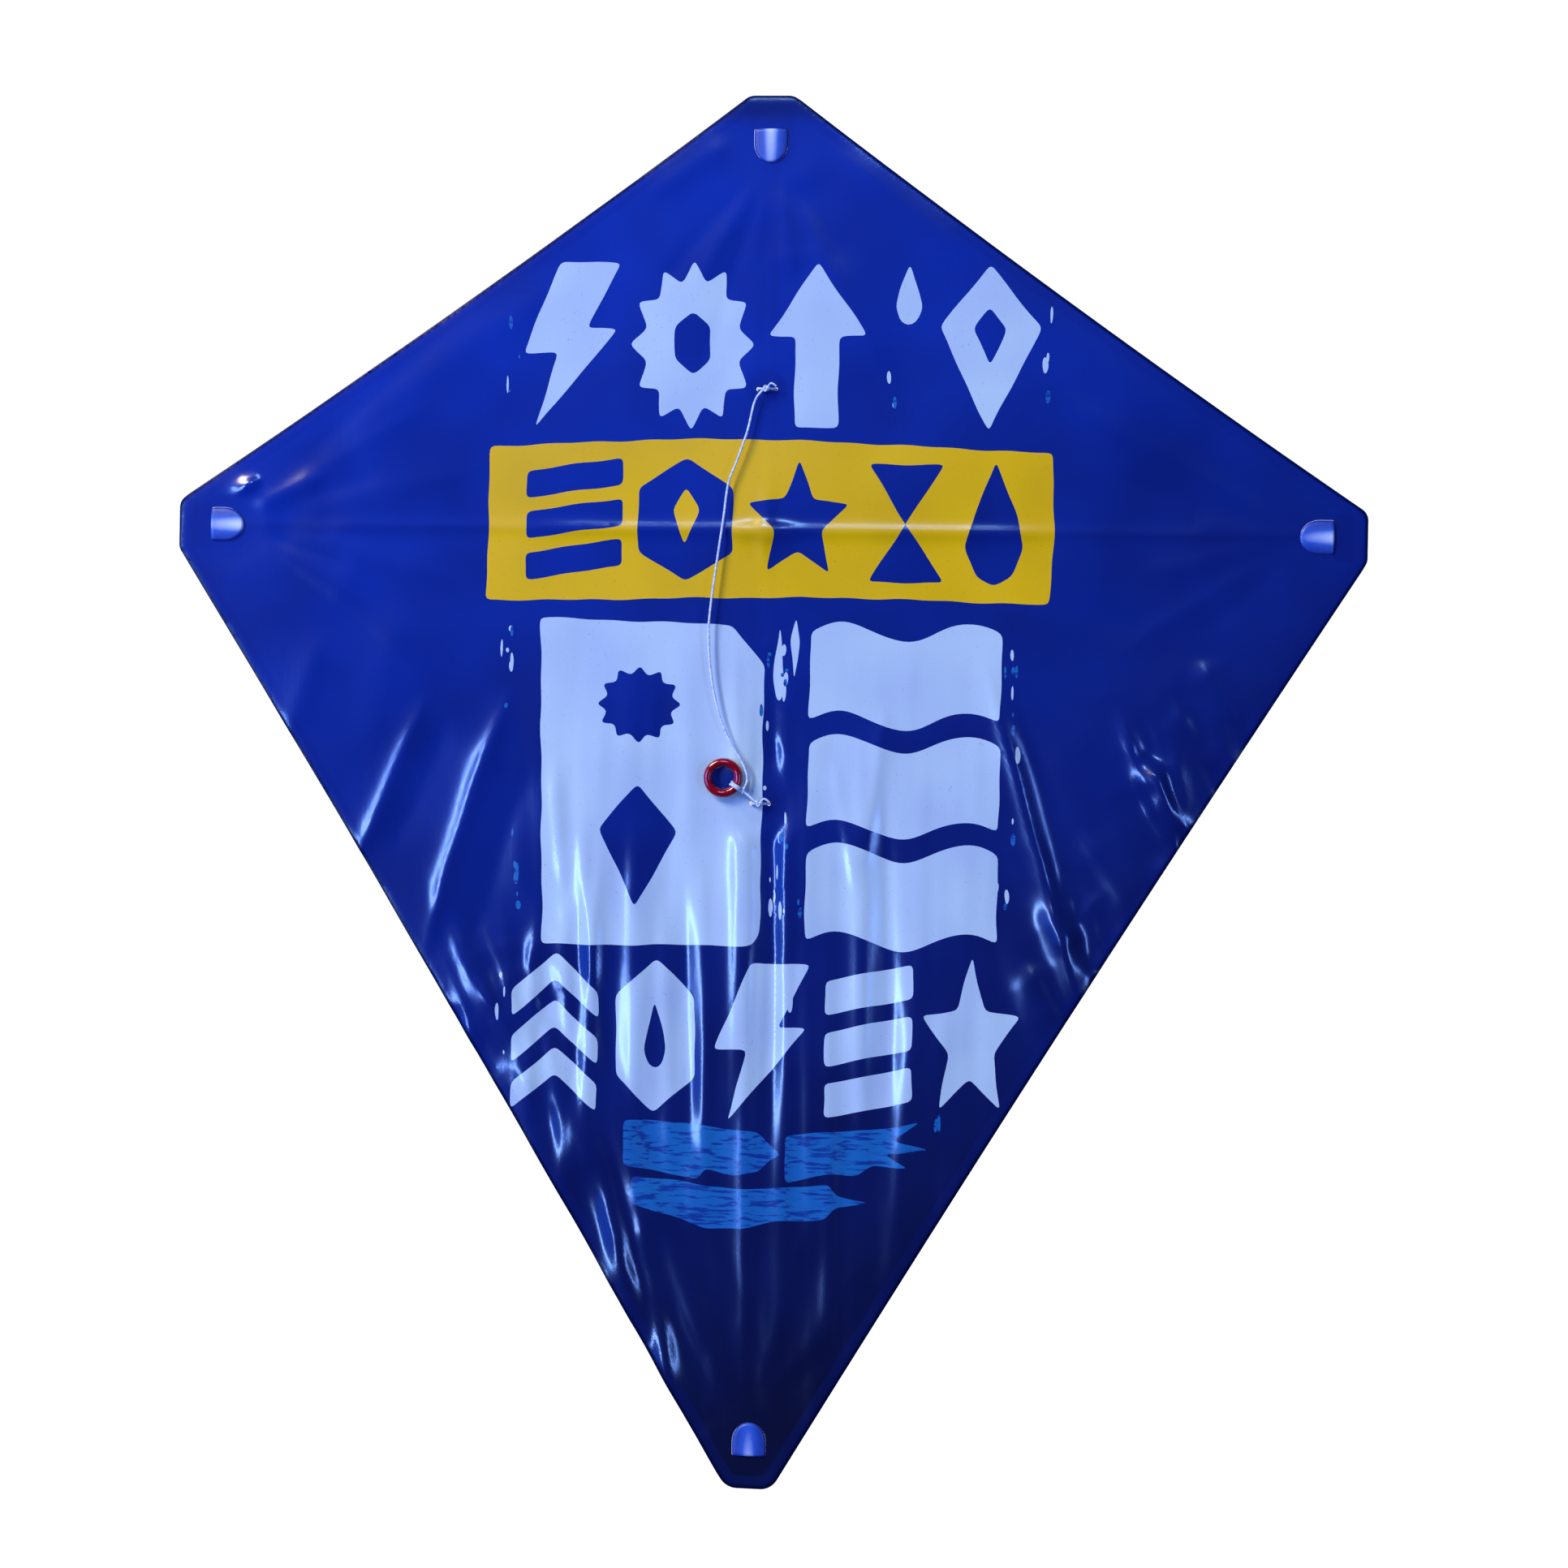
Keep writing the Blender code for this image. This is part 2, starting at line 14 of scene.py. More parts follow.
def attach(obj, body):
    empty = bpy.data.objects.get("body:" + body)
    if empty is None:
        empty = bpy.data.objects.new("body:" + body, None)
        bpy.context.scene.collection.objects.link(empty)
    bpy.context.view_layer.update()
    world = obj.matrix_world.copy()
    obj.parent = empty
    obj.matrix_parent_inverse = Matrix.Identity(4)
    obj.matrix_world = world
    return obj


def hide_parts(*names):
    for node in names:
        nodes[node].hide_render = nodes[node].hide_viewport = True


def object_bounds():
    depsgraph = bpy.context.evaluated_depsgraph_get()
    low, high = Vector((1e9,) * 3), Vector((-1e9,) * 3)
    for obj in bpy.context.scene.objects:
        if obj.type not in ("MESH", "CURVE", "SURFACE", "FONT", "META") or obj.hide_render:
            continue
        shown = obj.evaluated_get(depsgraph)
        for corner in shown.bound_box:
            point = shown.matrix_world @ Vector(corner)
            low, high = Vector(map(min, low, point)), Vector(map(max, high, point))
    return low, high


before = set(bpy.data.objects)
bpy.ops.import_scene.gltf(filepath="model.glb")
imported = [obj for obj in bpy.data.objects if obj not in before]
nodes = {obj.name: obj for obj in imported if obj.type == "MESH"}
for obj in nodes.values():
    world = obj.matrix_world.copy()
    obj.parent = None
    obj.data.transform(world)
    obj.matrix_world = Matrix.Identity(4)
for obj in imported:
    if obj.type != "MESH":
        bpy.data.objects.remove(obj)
cad_low, cad_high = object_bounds()
print("CAD box in mm:", [round((b - a) * 1000, 1) for a, b in zip(cad_low, cad_high)])

# %% [markdown]
# ## Small helpers
# Three tools serve every cell: one turns an sRGB hex colour into the linear numbers that shaders use, one
# adds a shader node with its settings and links, and one turns points and faces into a piece that rides
# on a body.

# %% Colours, shader nodes and pieces
MM = 0.001


def colour(hex_code):
    parts = [int(hex_code[i : i + 2], 16) / 255 for i in (1, 3, 5)]
    linear = [p / 12.92 if p <= 0.04045 else ((p + 0.055) / 1.055) ** 2.4 for p in parts]
    return (*linear, 1.0)


def add_node(tree, kind, values=None, links=None, **settings):
    node = tree.nodes.new(kind)
    for key, value in settings.items():
        setattr(node, key, value)
    for socket, value in (values or {}).items():
        node.inputs[socket].default_value = value
    for socket, source in (links or {}).items():
        tree.links.new(source, node.inputs[socket])
    return node


def new_finish(name, values):
    """A material, its node tree and its Principled shader with plain values."""
    made = bpy.data.materials.new(name)
    made.use_nodes = True
    shader = made.node_tree.nodes["Principled BSDF"]
    for socket, value in values.items():
        shader.inputs[socket].default_value = value
    return made, made.node_tree, shader


def new_piece(name, points, faces, body, finishes, face_finish=None, smooth=True):
    mesh = bpy.data.meshes.new(name)
    mesh.from_pydata([tuple(p) for p in points], [], [tuple(f) for f in faces])
    for finish in finishes:
        mesh.materials.append(finish)
    if face_finish is not None:
        mesh.polygons.foreach_set("material_index", np.asarray(face_finish, dtype=np.int32))
    mesh.polygons.foreach_set("use_smooth", [smooth] * len(mesh.polygons))
    mesh.update()
    piece = bpy.data.objects.new(name, mesh)
    bpy.context.scene.collection.objects.link(piece)
    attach(piece, body)
    return piece


# %% [markdown]
# ## Where the eye stands
# The kite is seen from two metres away, nearly straight on: the eye stands a step to the right, which
# makes the right half look a hair wider than the left. The kite hangs about one degree clockwise, which
# is a small roll of the camera the other way.

# %% Camera
FRAME_WIDTH = 0.787
DISTANCE = 2.0
SENSOR_MM = 36.0
YAW, PITCH, ROLL = (math.radians(a) for a in (5.9, -0.7, 1.0))
box_middle = (cad_low + cad_high) / 2
FILM_FRONT = 9.6 * MM
aim = Vector((box_middle.x + 12.0 * MM, -FILM_FRONT, box_middle.z + 5.1 * MM))
camera = bpy.data.objects.new("camera", bpy.data.cameras.new("camera"))
bpy.context.scene.collection.objects.link(camera)
camera.data.sensor_width = SENSOR_MM
camera.data.lens = SENSOR_MM * DISTANCE / FRAME_WIDTH
camera.data.clip_start, camera.data.clip_end = 0.05, 60.0
turned = Matrix.Rotation(YAW, 3, "Z") @ Matrix.Rotation(PITCH, 3, "X")
upright = Matrix.Rotation(-ROLL, 3, "Y") @ Matrix.Rotation(math.radians(90), 3, "X")
camera.location = aim + turned @ Vector((0, -DISTANCE, 0))
camera.rotation_euler = (turned @ upright).to_euler()
bpy.context.scene.camera = camera
print("lens in mm:", round(camera.data.lens, 1))

# %% [markdown]
# ## Braided polyester line
# The bridle is a soft braided polyester line, 1.2 mm thick. A plain curve with a round bevel would do from
# afar, but a close look shows the plaits, so the tube is built as rings of points whose radius follows two
# crossing spirals. The finish is polyester: satin, IOR 1.57, with the dirt that sits between the plaits.

# %% The line's tube and its finish
LINE_RADIUS = 0.6 * MM
PLAIT_PITCH = 2.4 * MM
PLAIT_RELIEF = 0.13


def smooth_route(points, step):
    """Evenly spaced points on a smooth curve through a route's own points."""
    route = [Vector(p) for p in points]
    dense = []
    for i in range(len(route) - 1):
        before, start = route[max(i - 1, 0)], route[i]
        end, after = route[i + 1], route[min(i + 2, len(route) - 1)]
        for k in range(20):
            t = k / 20
            dense.append(
                0.5
                * (
                    2 * start
                    + (end - before) * t
                    + (2 * before - 5 * start + 4 * end - after) * t**2
                    + (3 * start - before - 3 * end + after) * t**3
                )
            )
    dense = np.array([*dense, route[-1]])
    walked = np.concatenate([[0], np.cumsum(np.linalg.norm(np.diff(dense, axis=0), axis=1))])
    places = np.linspace(0, walked[-1], max(3, round(walked[-1] / step)))
    return np.stack([np.interp(places, walked, dense[:, k]) for k in range(3)], axis=1)


def line_tube(points, radius=LINE_RADIUS, closed=False, sides=12):
    """Points and faces of a plaited tube along a route."""
    points = [Vector(p) for p in points]
    count = len(points)
    ways = []
    for i in range(count):
        onward = points[(i + 1) % count] if closed or i + 1 < count else points[i]
        back = points[i - 1] if closed or i else points[i]
        ways.append((onward - back).normalized())
    normal = ways[0].orthogonal().normalized()
    normals = [normal]
    for i in range(1, count):
        normal = ways[i - 1].rotation_difference(ways[i]) @ normal
        normals.append(normal)
    twist = 0.0
    if closed:
        last = ways[-1].rotation_difference(ways[0]) @ normals[-1]
        twist = math.atan2(last.cross(normals[0]).dot(ways[0]), last.dot(normals[0]))
    made, along = [], 0.0
    for i, (place, way, normal) in enumerate(zip(points, ways, normals)):
        across = way.cross(normal)
        turn = twist * i / count
        spin = 2 * math.pi * along / PLAIT_PITCH
        for k in range(sides):
            a = 2 * math.pi * k / sides
            lift = 1 + PLAIT_RELIEF * math.cos(2 * a + spin) * math.cos(2 * a - spin)
            made.append(
                place
                + (normal * math.cos(a + turn) + across * math.sin(a + turn)) * radius * lift
            )
        along += (points[(i + 1) % count] - place).length if i + 1 < count else 0
    faces = []
    for i in range(count if closed else count - 1):
        for k in range(sides):
            a, b = i * sides + k, i * sides + (k + 1) % sides
            c, d = (b + sides) % len(made), (a + sides) % len(made)
            faces.append((a, b, c, d))
    if not closed:
        faces.append(tuple(reversed(range(sides))))
        faces.append(tuple(range((count - 1) * sides, count * sides)))
    return made, faces


def knot_route(centre, size, turn=0.0):
    """A tight overhand knot, drawn as a closed three-leafed path that faces -Y."""
    centre = Vector(centre)
    path = []
    for i in range(72):
        t = 2 * math.pi * i / 72
        x, z = math.sin(t) + 2 * math.sin(2 * t), math.cos(t) - 2 * math.cos(2 * t)
        spot = Vector((x, 1.3 * math.sin(3 * t), z)) * (size / 3)
        path.append(centre + Matrix.Rotation(turn, 3, "Y") @ spot)
    return path


def joined(*tubes):
    points, faces = [], []
    for more_points, more_faces in tubes:
        start = len(points)
        points += list(more_points)
        faces += [tuple(start + i for i in face) for face in more_faces]
    return points, faces


dirt_mm = 1.11
braid, tree, shader = new_finish(
    "braided_polyester", {"Roughness": 0.62, "IOR": 1.57, "Sheen Weight": 0.25}
)
place = add_node(tree, "ShaderNodeTexCoord")
dust = add_node(
    tree,
    "ShaderNodeTexNoise",
    {"Scale": 1000 / dirt_mm, "Detail": 3.0},
    {"Vector": place.outputs["Object"]},
)
tint = add_node(tree, "ShaderNodeValToRGB", links={"Fac": dust.outputs["Fac"]})
tint.color_ramp.elements[0].position, tint.color_ramp.elements[1].position = 0.35, 0.62
tint.color_ramp.elements[0].color = colour("#9FB3D8")
tint.color_ramp.elements[1].color = colour("#DDE6F6")
fibres = add_node(
    tree,
    "ShaderNodeBump",
    {"Strength": 0.35, "Distance": 0.00008},
    {"Height": dust.outputs["Fac"]},
)
tree.links.new(tint.outputs["Color"], shader.inputs["Base Color"])
tree.links.new(fibres.outputs["Normal"], shader.inputs["Normal"])

# %% [markdown]
# ## The bridle
# One line runs from the upper tie, in a slack curve down past the spar, through the hitch on the ring, and
# on to the lower tie. It stands as a single mesh tube that rides on the bridle's own body, so that both
# legs swing together about the ties' knots.

# %% The bridle line
BRIDLE_HEIGHT = 13.6 * MM
UPPER_TIE, LOWER_TIE = 0.071, -0.137
RING_CENTRE = Vector((-0.0184, -BRIDLE_HEIGHT, -0.1243))
RING_RADIUS = 7.8 * MM
HITCH_TURN = math.radians(-32)
HITCH_REACH = 11.8 * MM
hitch_way = Vector((math.cos(HITCH_TURN), 0, math.sin(HITCH_TURN)))
hitch_knot = RING_CENTRE + hitch_way * HITCH_REACH
UPPER_LEG = [
    (0.0, 0.0710), (-0.0023, 0.0696), (-0.0058, 0.0640), (-0.0090, 0.0500), (-0.0140, 0.0350),
    (-0.0183, 0.0230), (-0.0205, 0.0054), (-0.0238, -0.0191), (-0.0262, -0.0390),
    (-0.0270, -0.0540), (-0.0252, -0.0740), (-0.0205, -0.0940), (-0.0140, -0.1080),
    (-0.0096, -0.1150), (-0.0069, -0.1210), (-0.0062, -0.1255), (-0.0073, -0.1287),
]  # fmt: skip
LOWER_LEG = [(-0.0060, -0.1325), (-0.0030, -0.1350), (0.0, LOWER_TIE)]
route = [(x, -BRIDLE_HEIGHT, z) for x, z in UPPER_LEG]
route += [tuple(hitch_knot)]
route += [(x, -BRIDLE_HEIGHT, z) for x, z in LOWER_LEG]
TUBE_STEP = 0.35 * MM
bridle_path = smooth_route(route, TUBE_STEP)
bridle_length = float(np.linalg.norm(np.diff(bridle_path, axis=0), axis=1).sum())
bridle_line = new_piece("bridle_line", *line_tube(bridle_path), "bridle", [braid])
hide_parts("bridle_upper_leg", "bridle_lower_leg")
print("bridle length in mm:", round(bridle_length * 1000, 1))

# %% [markdown]
# ## What the tow ring is made of
# The ring is a small injection-moulded ring of red polystyrene, almost as smooth as glass: IOR 1.59,
# roughness 0.12, and a colour that light sinks into a little, with faint clouds and fine scuffs.

# %% Ring finish
cloud_mm, scuff_mm = 7.14, 0.556
ring_red, tree, shader = new_finish(
    "red_polystyrene",
    {
        "Roughness": 0.12,
        "IOR": 1.59,
        "Subsurface Weight": 0.15,
        "Subsurface Radius": (0.004, 0.0006, 0.0006),
        "Subsurface Scale": 1.0,
        "Coat Weight": 0.4,
        "Coat Roughness": 0.05,
    },
)
place = add_node(tree, "ShaderNodeTexCoord")
cloud = add_node(
    tree,
    "ShaderNodeTexNoise",
    {"Scale": 1000 / cloud_mm, "Detail": 2.0},
    {"Vector": place.outputs["Object"]},
)
tint = add_node(tree, "ShaderNodeValToRGB", links={"Fac": cloud.outputs["Fac"]})
tint.color_ramp.elements[0].color = colour("#6A0012")
tint.color_ramp.elements[1].color = colour("#A4001E")
scuff = add_node(
    tree,
    "ShaderNodeTexNoise",
    {"Scale": 1000 / scuff_mm, "Detail": 2.0},
    {"Vector": place.outputs["Object"]},
)
skin = add_node(
    tree,
    "ShaderNodeBump",
    {"Strength": 0.08, "Distance": 0.0001},
    {"Height": scuff.outputs["Fac"]},
)
tree.links.new(tint.outputs["Color"], shader.inputs["Base Color"])
tree.links.new(skin.outputs["Normal"], shader.inputs["Normal"])

print("ring finish:", ring_red.name)

# %% [markdown]
# ## The hitch and the tow ring
# The ring's body is a torus with a faint parting ridge inside and out, where the mould's halves met. The
# line is wrapped twice round it and ends in a knot, so the ring can swing about that knot.

# %% Ring and hitch
RING_SECTION = 2.1 * MM
RING_STEPS, SECTION_STEPS = 96, 28
PARTING_RIDGE = 0.08 * MM
WRAP_RADIUS = RING_SECTION + 0.2 * MM + LINE_RADIUS
WRAP_OFFSET = 0.75 * MM

points, faces = [], []
for i in range(RING_STEPS):
    a = 2 * math.pi * i / RING_STEPS
    outward = Vector((math.cos(a), 0, math.sin(a)))
    for k in range(SECTION_STEPS):
        b = 2 * math.pi * k / SECTION_STEPS
        ridge = PARTING_RIDGE * math.exp(-((math.sin(b) / 0.14) ** 2))
        reach = RING_SECTION - 0.06 * MM + ridge
        points.append(
            RING_CENTRE
            + outward * (RING_RADIUS + reach * math.cos(b))
            + Vector((0, 1, 0)) * reach * math.sin(b)
        )
        onward, beside = (i + 1) % RING_STEPS * SECTION_STEPS, (k + 1) % SECTION_STEPS
        faces.append((i * SECTION_STEPS + k, onward + k, onward + beside, i * SECTION_STEPS + beside))
tow_ring = new_piece("tow_ring_moulding", points, faces, "ring", [ring_red])
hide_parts("tow_ring")

wrap_middle = RING_CENTRE + hitch_way * RING_RADIUS
along_ring = Vector((-hitch_way.z, 0, hitch_way.x))
tubes = []
for side in (-1, 1):
    loop = []
    for i in range(40):
        a = 2 * math.pi * i / 40
        slip = along_ring * (side * WRAP_OFFSET + 0.25 * MM * side * math.sin(a))
        loop.append(
            wrap_middle
            + slip
            + hitch_way * WRAP_RADIUS * math.cos(a)
            + Vector((0, WRAP_RADIUS * math.sin(a), 0))
        )
    tubes.append(line_tube(loop, closed=True))
tubes.append(line_tube(knot_route(hitch_knot, 1.15 * MM), radius=0.5 * MM, closed=True))
ring_hitch = new_piece("ring_hitch_line", *joined(*tubes), "ring", [braid])
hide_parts("ring_hitch")
print("ring faces:", len(faces))

# %% [markdown]
# ## The sail's outline and its windows
# The sail is cut with four short flat tips and long edges that bow inwards by 2.5 mm, because a taut free
# edge always does. Each tip has a D-shaped window for its cap. All outlines are lists of points in
# millimetres; X is across and the second number is up.

# %% Outlines in millimetres
HALF_WIDTH, NOSE_UP, TAIL_DOWN = 300.0, 218.0, 482.0
SIDE_FLAT, NOSE_FLAT, TAIL_FLAT = 24.0, 22.0, 23.0
EDGE_BOW = 2.5
FOLD = 0.17  # radius of the folded edge
WINDOW_INSET, WINDOW_LENGTH, WINDOW_HALF, WINDOW_NOSE = 16.5, 17.0, 8.6, 9.5
TIPS = {"right": (0, HALF_WIDTH), "nose": (90, NOSE_UP), "left": (180, HALF_WIDTH)}
TIPS["tail"] = (270, TAIL_DOWN)
TIE_HALF = 4.5
TIES = (UPPER_TIE / MM, LOWER_TIE / MM)


def arc(centre, radius, start, end, steps):
    across, along = radius if isinstance(radius, tuple) else (radius, radius)
    turns = np.radians(np.linspace(start, end, steps + 1))
    return [(centre[0] + across * math.cos(a), centre[1] + along * math.sin(a)) for a in turns]


def even_steps(loop, step):
    """A closed outline with its long sides divided into steps."""
    made = []
    for start, end in zip(loop, [*loop[1:], loop[0]]):
        count = max(1, round(math.dist(start, end) / step))
        for k in range(count):
            t = k / count
            made.append((start[0] + (end[0] - start[0]) * t, start[1] + (end[1] - start[1]) * t))
    return made


def sail_outline():
    nose, tail, side = NOSE_FLAT / 2, TAIL_FLAT / 2, SIDE_FLAT / 2
    corners = [
        ((HALF_WIDTH, side), 7), ((nose, NOSE_UP), 8), ((-nose, NOSE_UP), 8),
        ((-HALF_WIDTH, side), 7), ((-HALF_WIDTH, -side), 7), ((-tail, -TAIL_DOWN), 10),
        ((tail, -TAIL_DOWN), 10), ((HALF_WIDTH, -side), 7),
    ]  # fmt: skip
    outline = []
    for i, (corner, radius) in enumerate(corners):
        here = Vector(corner)
        back = (Vector(corners[i - 1][0]) - here).normalized()
        onward = (Vector(corners[(i + 1) % len(corners)][0]) - here).normalized()
        half_angle = back.angle(onward) / 2
        middle = here + (back + onward).normalized() * radius / math.sin(half_angle)
        first = here + back * radius / math.tan(half_angle)
        last = here + onward * radius / math.tan(half_angle)
        if outline and (first - outline[-1]).length > 2 * SIDE_FLAT:
            start, inward = outline[-1], -(outline[-1] + first).normalized()
            for k in range(1, 150):
                t = k / 150
                outline.append(start.lerp(first, t) + inward * EDGE_BOW * 4 * t * (1 - t))
        out_first, out_last = (first - middle).normalized(), (last - middle).normalized()
        for k in range(9):
            outline.append(middle + out_first.slerp(out_last, k / 8) * (radius - FOLD))
    return even_steps([(p.x, p.y) for p in outline], 2.0)


def on_board(tip, u, v):
    """A tip's own outward and sideways distances as a place on the sail."""
    degrees, reach = TIPS[tip]
    c, s = math.cos(math.radians(degrees)), math.sin(math.radians(degrees))
    u = u + reach - WINDOW_INSET
    return u * c - v * s, u * s + v * c


def window_outline(grow=0.0, outer=0.0, corner=1.5):
    half, end, back = WINDOW_HALF + grow, outer + grow, WINDOW_NOSE - WINDOW_LENGTH
    points = arc((back, 0), (WINDOW_NOSE + grow, half), 90, 270, 24)
    points += arc((end - corner, corner - half), corner, 270, 360, 5)
    points += arc((end - corner, half - corner), corner, 0, 90, 5)
    return points


sail_edge = sail_outline()
windows = {tip: [on_board(tip, u, v) for u, v in window_outline()] for tip in TIPS}
tie_holes = [arc((side * TIE_HALF, up), 1.0, 0, 330, 11) for up in TIES for side in (-1, 1)]
print("outline points:", len(sail_edge))

# %% [markdown]
# ## The print
# The real sail is screen printed in three opaque inks: pale blue, yellow and light blue. Its words are
# left out here, and plain signs of wind and weather stand in their rows: bolt, sun, arrow, drop, kite and
# waves. Each sign is an outline in a unit square. Edges wander by a third of a millimetre, as they do where
# ink is pressed on to film, and small specks beside the rows are where the worn screen let ink through.

# %% Signs for the print
rng = np.random.default_rng(7)


def star(count, inner, turn=0.0):
    loop = []
    for i in range(2 * count):
        a = math.pi / 2 + turn + math.pi * i / count
        reach = 0.5 if i % 2 == 0 else 0.5 * inner
        loop.append((0.5 + reach * math.cos(a), 0.5 + reach * math.sin(a)))
    return loop


BOLT = [(0.38, 1), (0.98, 1), (0.66, 0.60), (0.96, 0.60), (0.16, 0), (0.36, 0.45), (0.02, 0.45)]
ARROW = [(0.5, 1), (1, 0.55), (0.72, 0.55), (0.72, 0), (0.28, 0), (0.28, 0.55), (0, 0.55)]
KITE = [(0.5, 1), (1, 0.62), (0.5, 0), (0, 0.62)]
DROP = [(0.5, 1), (0.78, 0.58), (0.9, 0.3), (0.74, 0.07), (0.5, 0)]
DROP += [(0.26, 0.07), (0.1, 0.3), (0.22, 0.58)]
HEXAGON = [(0.5, 1), (1, 0.76), (1, 0.24), (0.5, 0), (0, 0.24), (0, 0.76)]
SUN = star(12, 0.74)
BLOCK = [(0.03, 0), (0.97, 0.01), (1, 0.04), (1, 0.86), (0.86, 0.985), (0, 1)]
SLANTS = [
    [(0.0, a), (0.0, a + 0.22), (1.0, a + 0.34), (1.0, a + 0.12)] for a in (0.0, 0.33, 0.66)
]
PEAKS = [
    [(0.0, a), (0.5, a + 0.24), (1.0, a), (1.0, a + 0.17), (0.5, a + 0.41), (0.0, a + 0.17)]
    for a in (0.0, 0.295, 0.59)
]


WAVE_BARS = ((0.03, 0.30), (0.37, 0.63), (0.70, 0.97))


def wave_bar(low, high):
    """A bar whose two long sides are waves."""
    steps = np.linspace(0, 1, 40)
    wave = 0.028 * np.sin(steps * 2 * math.pi * 1.5)
    top = [(x, high + w) for x, w in zip(steps, wave)]
    bottom = [(x, low + w) for x, w in zip(steps, wave)]
    return top + bottom[::-1]


def placed(sign, left, bottom, right, top):
    return [(left + x * (right - left), bottom + y * (top - bottom)) for x, y in sign]


def inked(loop, step=1.9):
    """An outline with rounded corners whose edge wanders a little."""
    steps = np.array(even_steps(loop, step))
    for _ in range(2):
        steps = (np.roll(steps, 1, axis=0) + 2 * steps + np.roll(steps, -1, axis=0)) / 4
    turns = rng.uniform(0, 2 * math.pi, 4)
    wander = [
        0.22 * np.sin(steps[:, 1 - k] / 4.1 + turns[k])
        + 0.26 * np.sin(steps[:, 1 - k] / 9.3 + turns[2 + k])
        for k in (0, 1)
    ]
    return steps + np.stack(wander, axis=1)


def speck(x, z, width, height):
    turns = np.linspace(0, 2 * math.pi, 8)[:-1]
    reach = 0.5 + 0.3 * rng.random(7)
    return [(x + width * r * math.cos(a), z + height * r * math.sin(a)) for a, r in zip(turns, reach)]


pale_signs = [
    [placed(BOLT, -125, 51, -74, 134)],
    [placed(SUN, -70, 50, -6, 136), placed(HEXAGON, -47, 78, -29, 110)],
    [placed(ARROW, 0, 52, 50, 135)],
    [placed(DROP, 62, 103, 79, 134)],
    [placed(KITE, 86, 51, 137, 134), placed(KITE, 103, 84, 120, 113)],
    [
        placed(BLOCK, -113, -210, 1, -45),
        placed(SUN, -84, -108, -40, -68),
        placed(KITE, -82, -190, -42, -128),
        # Painted shade: a hole in the pale ink behind the ring, so that dark blue film shows through the
        # ring's middle.
        placed(HEXAGON, -25, -131, -12, -118),
    ],
    *[[placed(wave_bar(low, high), 24, -210, 120, -45)] for low, high in WAVE_BARS],
    *[[placed(peak, -124, -294, -80, -214)] for peak in PEAKS],
    [placed(HEXAGON, -71, -294, -31, -216), placed(DROP, -58, -272, -44, -238)],
    [placed(BOLT, -22, -297, 28, -217)],
    *[[placed(slant, 35, -294, 79, -216)] for slant in SLANTS],
    [placed(star(5, 0.45), 82, -296, 134, -212)],
    [placed(DROP, 5, -86, 12, -48)],
    [placed(KITE, 14, -74, 19, -43)],
]
yellow_band = [
    (-140, 41), (-98, 43), (-60, 45), (-18, 46), (30, 45), (90, 42.5), (144, 40),
    (145, 2), (143.5, -35.5), (90, -34), (40, -33), (-30, -34), (-95, -36), (-141, -36.5),
]  # fmt: skip
yellow_signs = [
    [
        yellow_band,
        *[placed(slant, -121, -26, -72, 36) for slant in SLANTS],
        placed(HEXAGON, -64, -26, -16, 36),
        placed(KITE, -47, -8, -33, 21),
        placed(star(5, 0.45), -10, -27, 44, 36),
        placed([(0, 1), (1, 1), (0, 0), (1, 0)], 52, -25, 90, 34),
        placed(DROP, 97, -26, 134, 36),
    ]
]
stroke_signs = [
    [[(-66, -297), (-30, -299), (2, -302), (9, -309), (14, -313), (8, -316), (3, -322), (-10, -324),
      (-24, -321), (-28, -327), (-45, -324), (-66, -320)]],
    [[(16, -303), (40, -301), (62, -299), (84, -295), (70, -304), (88, -309), (66, -311),
      (78, -318), (60, -317), (52, -323), (40, -322), (16, -327)]],
    [[(-62, -326), (-36, -328), (-10, -331), (14, -330), (38, -327), (42, -333), (58, -336),
      (41, -339), (36, -345), (10, -347), (-6, -351), (-24, -351), (-44, -345), (-62, -340)]],
]  # fmt: skip
for x, low, high, many in (
    (-128, -90, -46, 7), (-124, -206, -150, 6), (127, -112, -58, 8), (124, -190, -138, 5),
    (-130, 66, 118, 4), (141, 60, 112, 4), (10, -92, -52, 9), (13, -200, -130, 9),
    (-130, -280, -224, 5), (92, -300, -288, 2), (62, 60, 96, 3), (3, -130, -60, 5),
    (8, -205, -150, 6), (20, -240, -180, 4),
):  # fmt: skip
    for _ in range(many):
        spot = speck(
            x + rng.normal(0, 2.2), rng.uniform(low, high), rng.uniform(0.8, 2.6), rng.uniform(2, 9)
        )
        (pale_signs if rng.random() < 0.45 else stroke_signs).append([spot])
pale_signs = [[inked(loop) for loop in sign] for sign in pale_signs]
yellow_signs = [[inked(loop) for loop in sign] for sign in yellow_signs]
stroke_signs = [[inked(loop) for loop in sign] for sign in stroke_signs]
print("signs:", len(pale_signs) + len(yellow_signs) + len(stroke_signs))

# %% [markdown]
# ## The shape of the film
# Thin film never lies flat. It rides over the spar and the connector, it is drawn into low pleats that fan
# out of each cap, it stands in long folds along the spine below the spar, and it is crumpled where it was
# creased in its bag, along both lower edges. A cloth run makes soft folds that land anywhere, while these
# belong to known places, so each fold is written as a crease with two ends, a width and a height, and
# the crumpled patches are folded noise. The result is a height in front of the connector's back.

# %% Creases and crumples
FILM_HEIGHT = 9.55


def smoothstep(t):
    t = np.clip(t, 0, 1)
    return t * t * (3 - 2 * t)


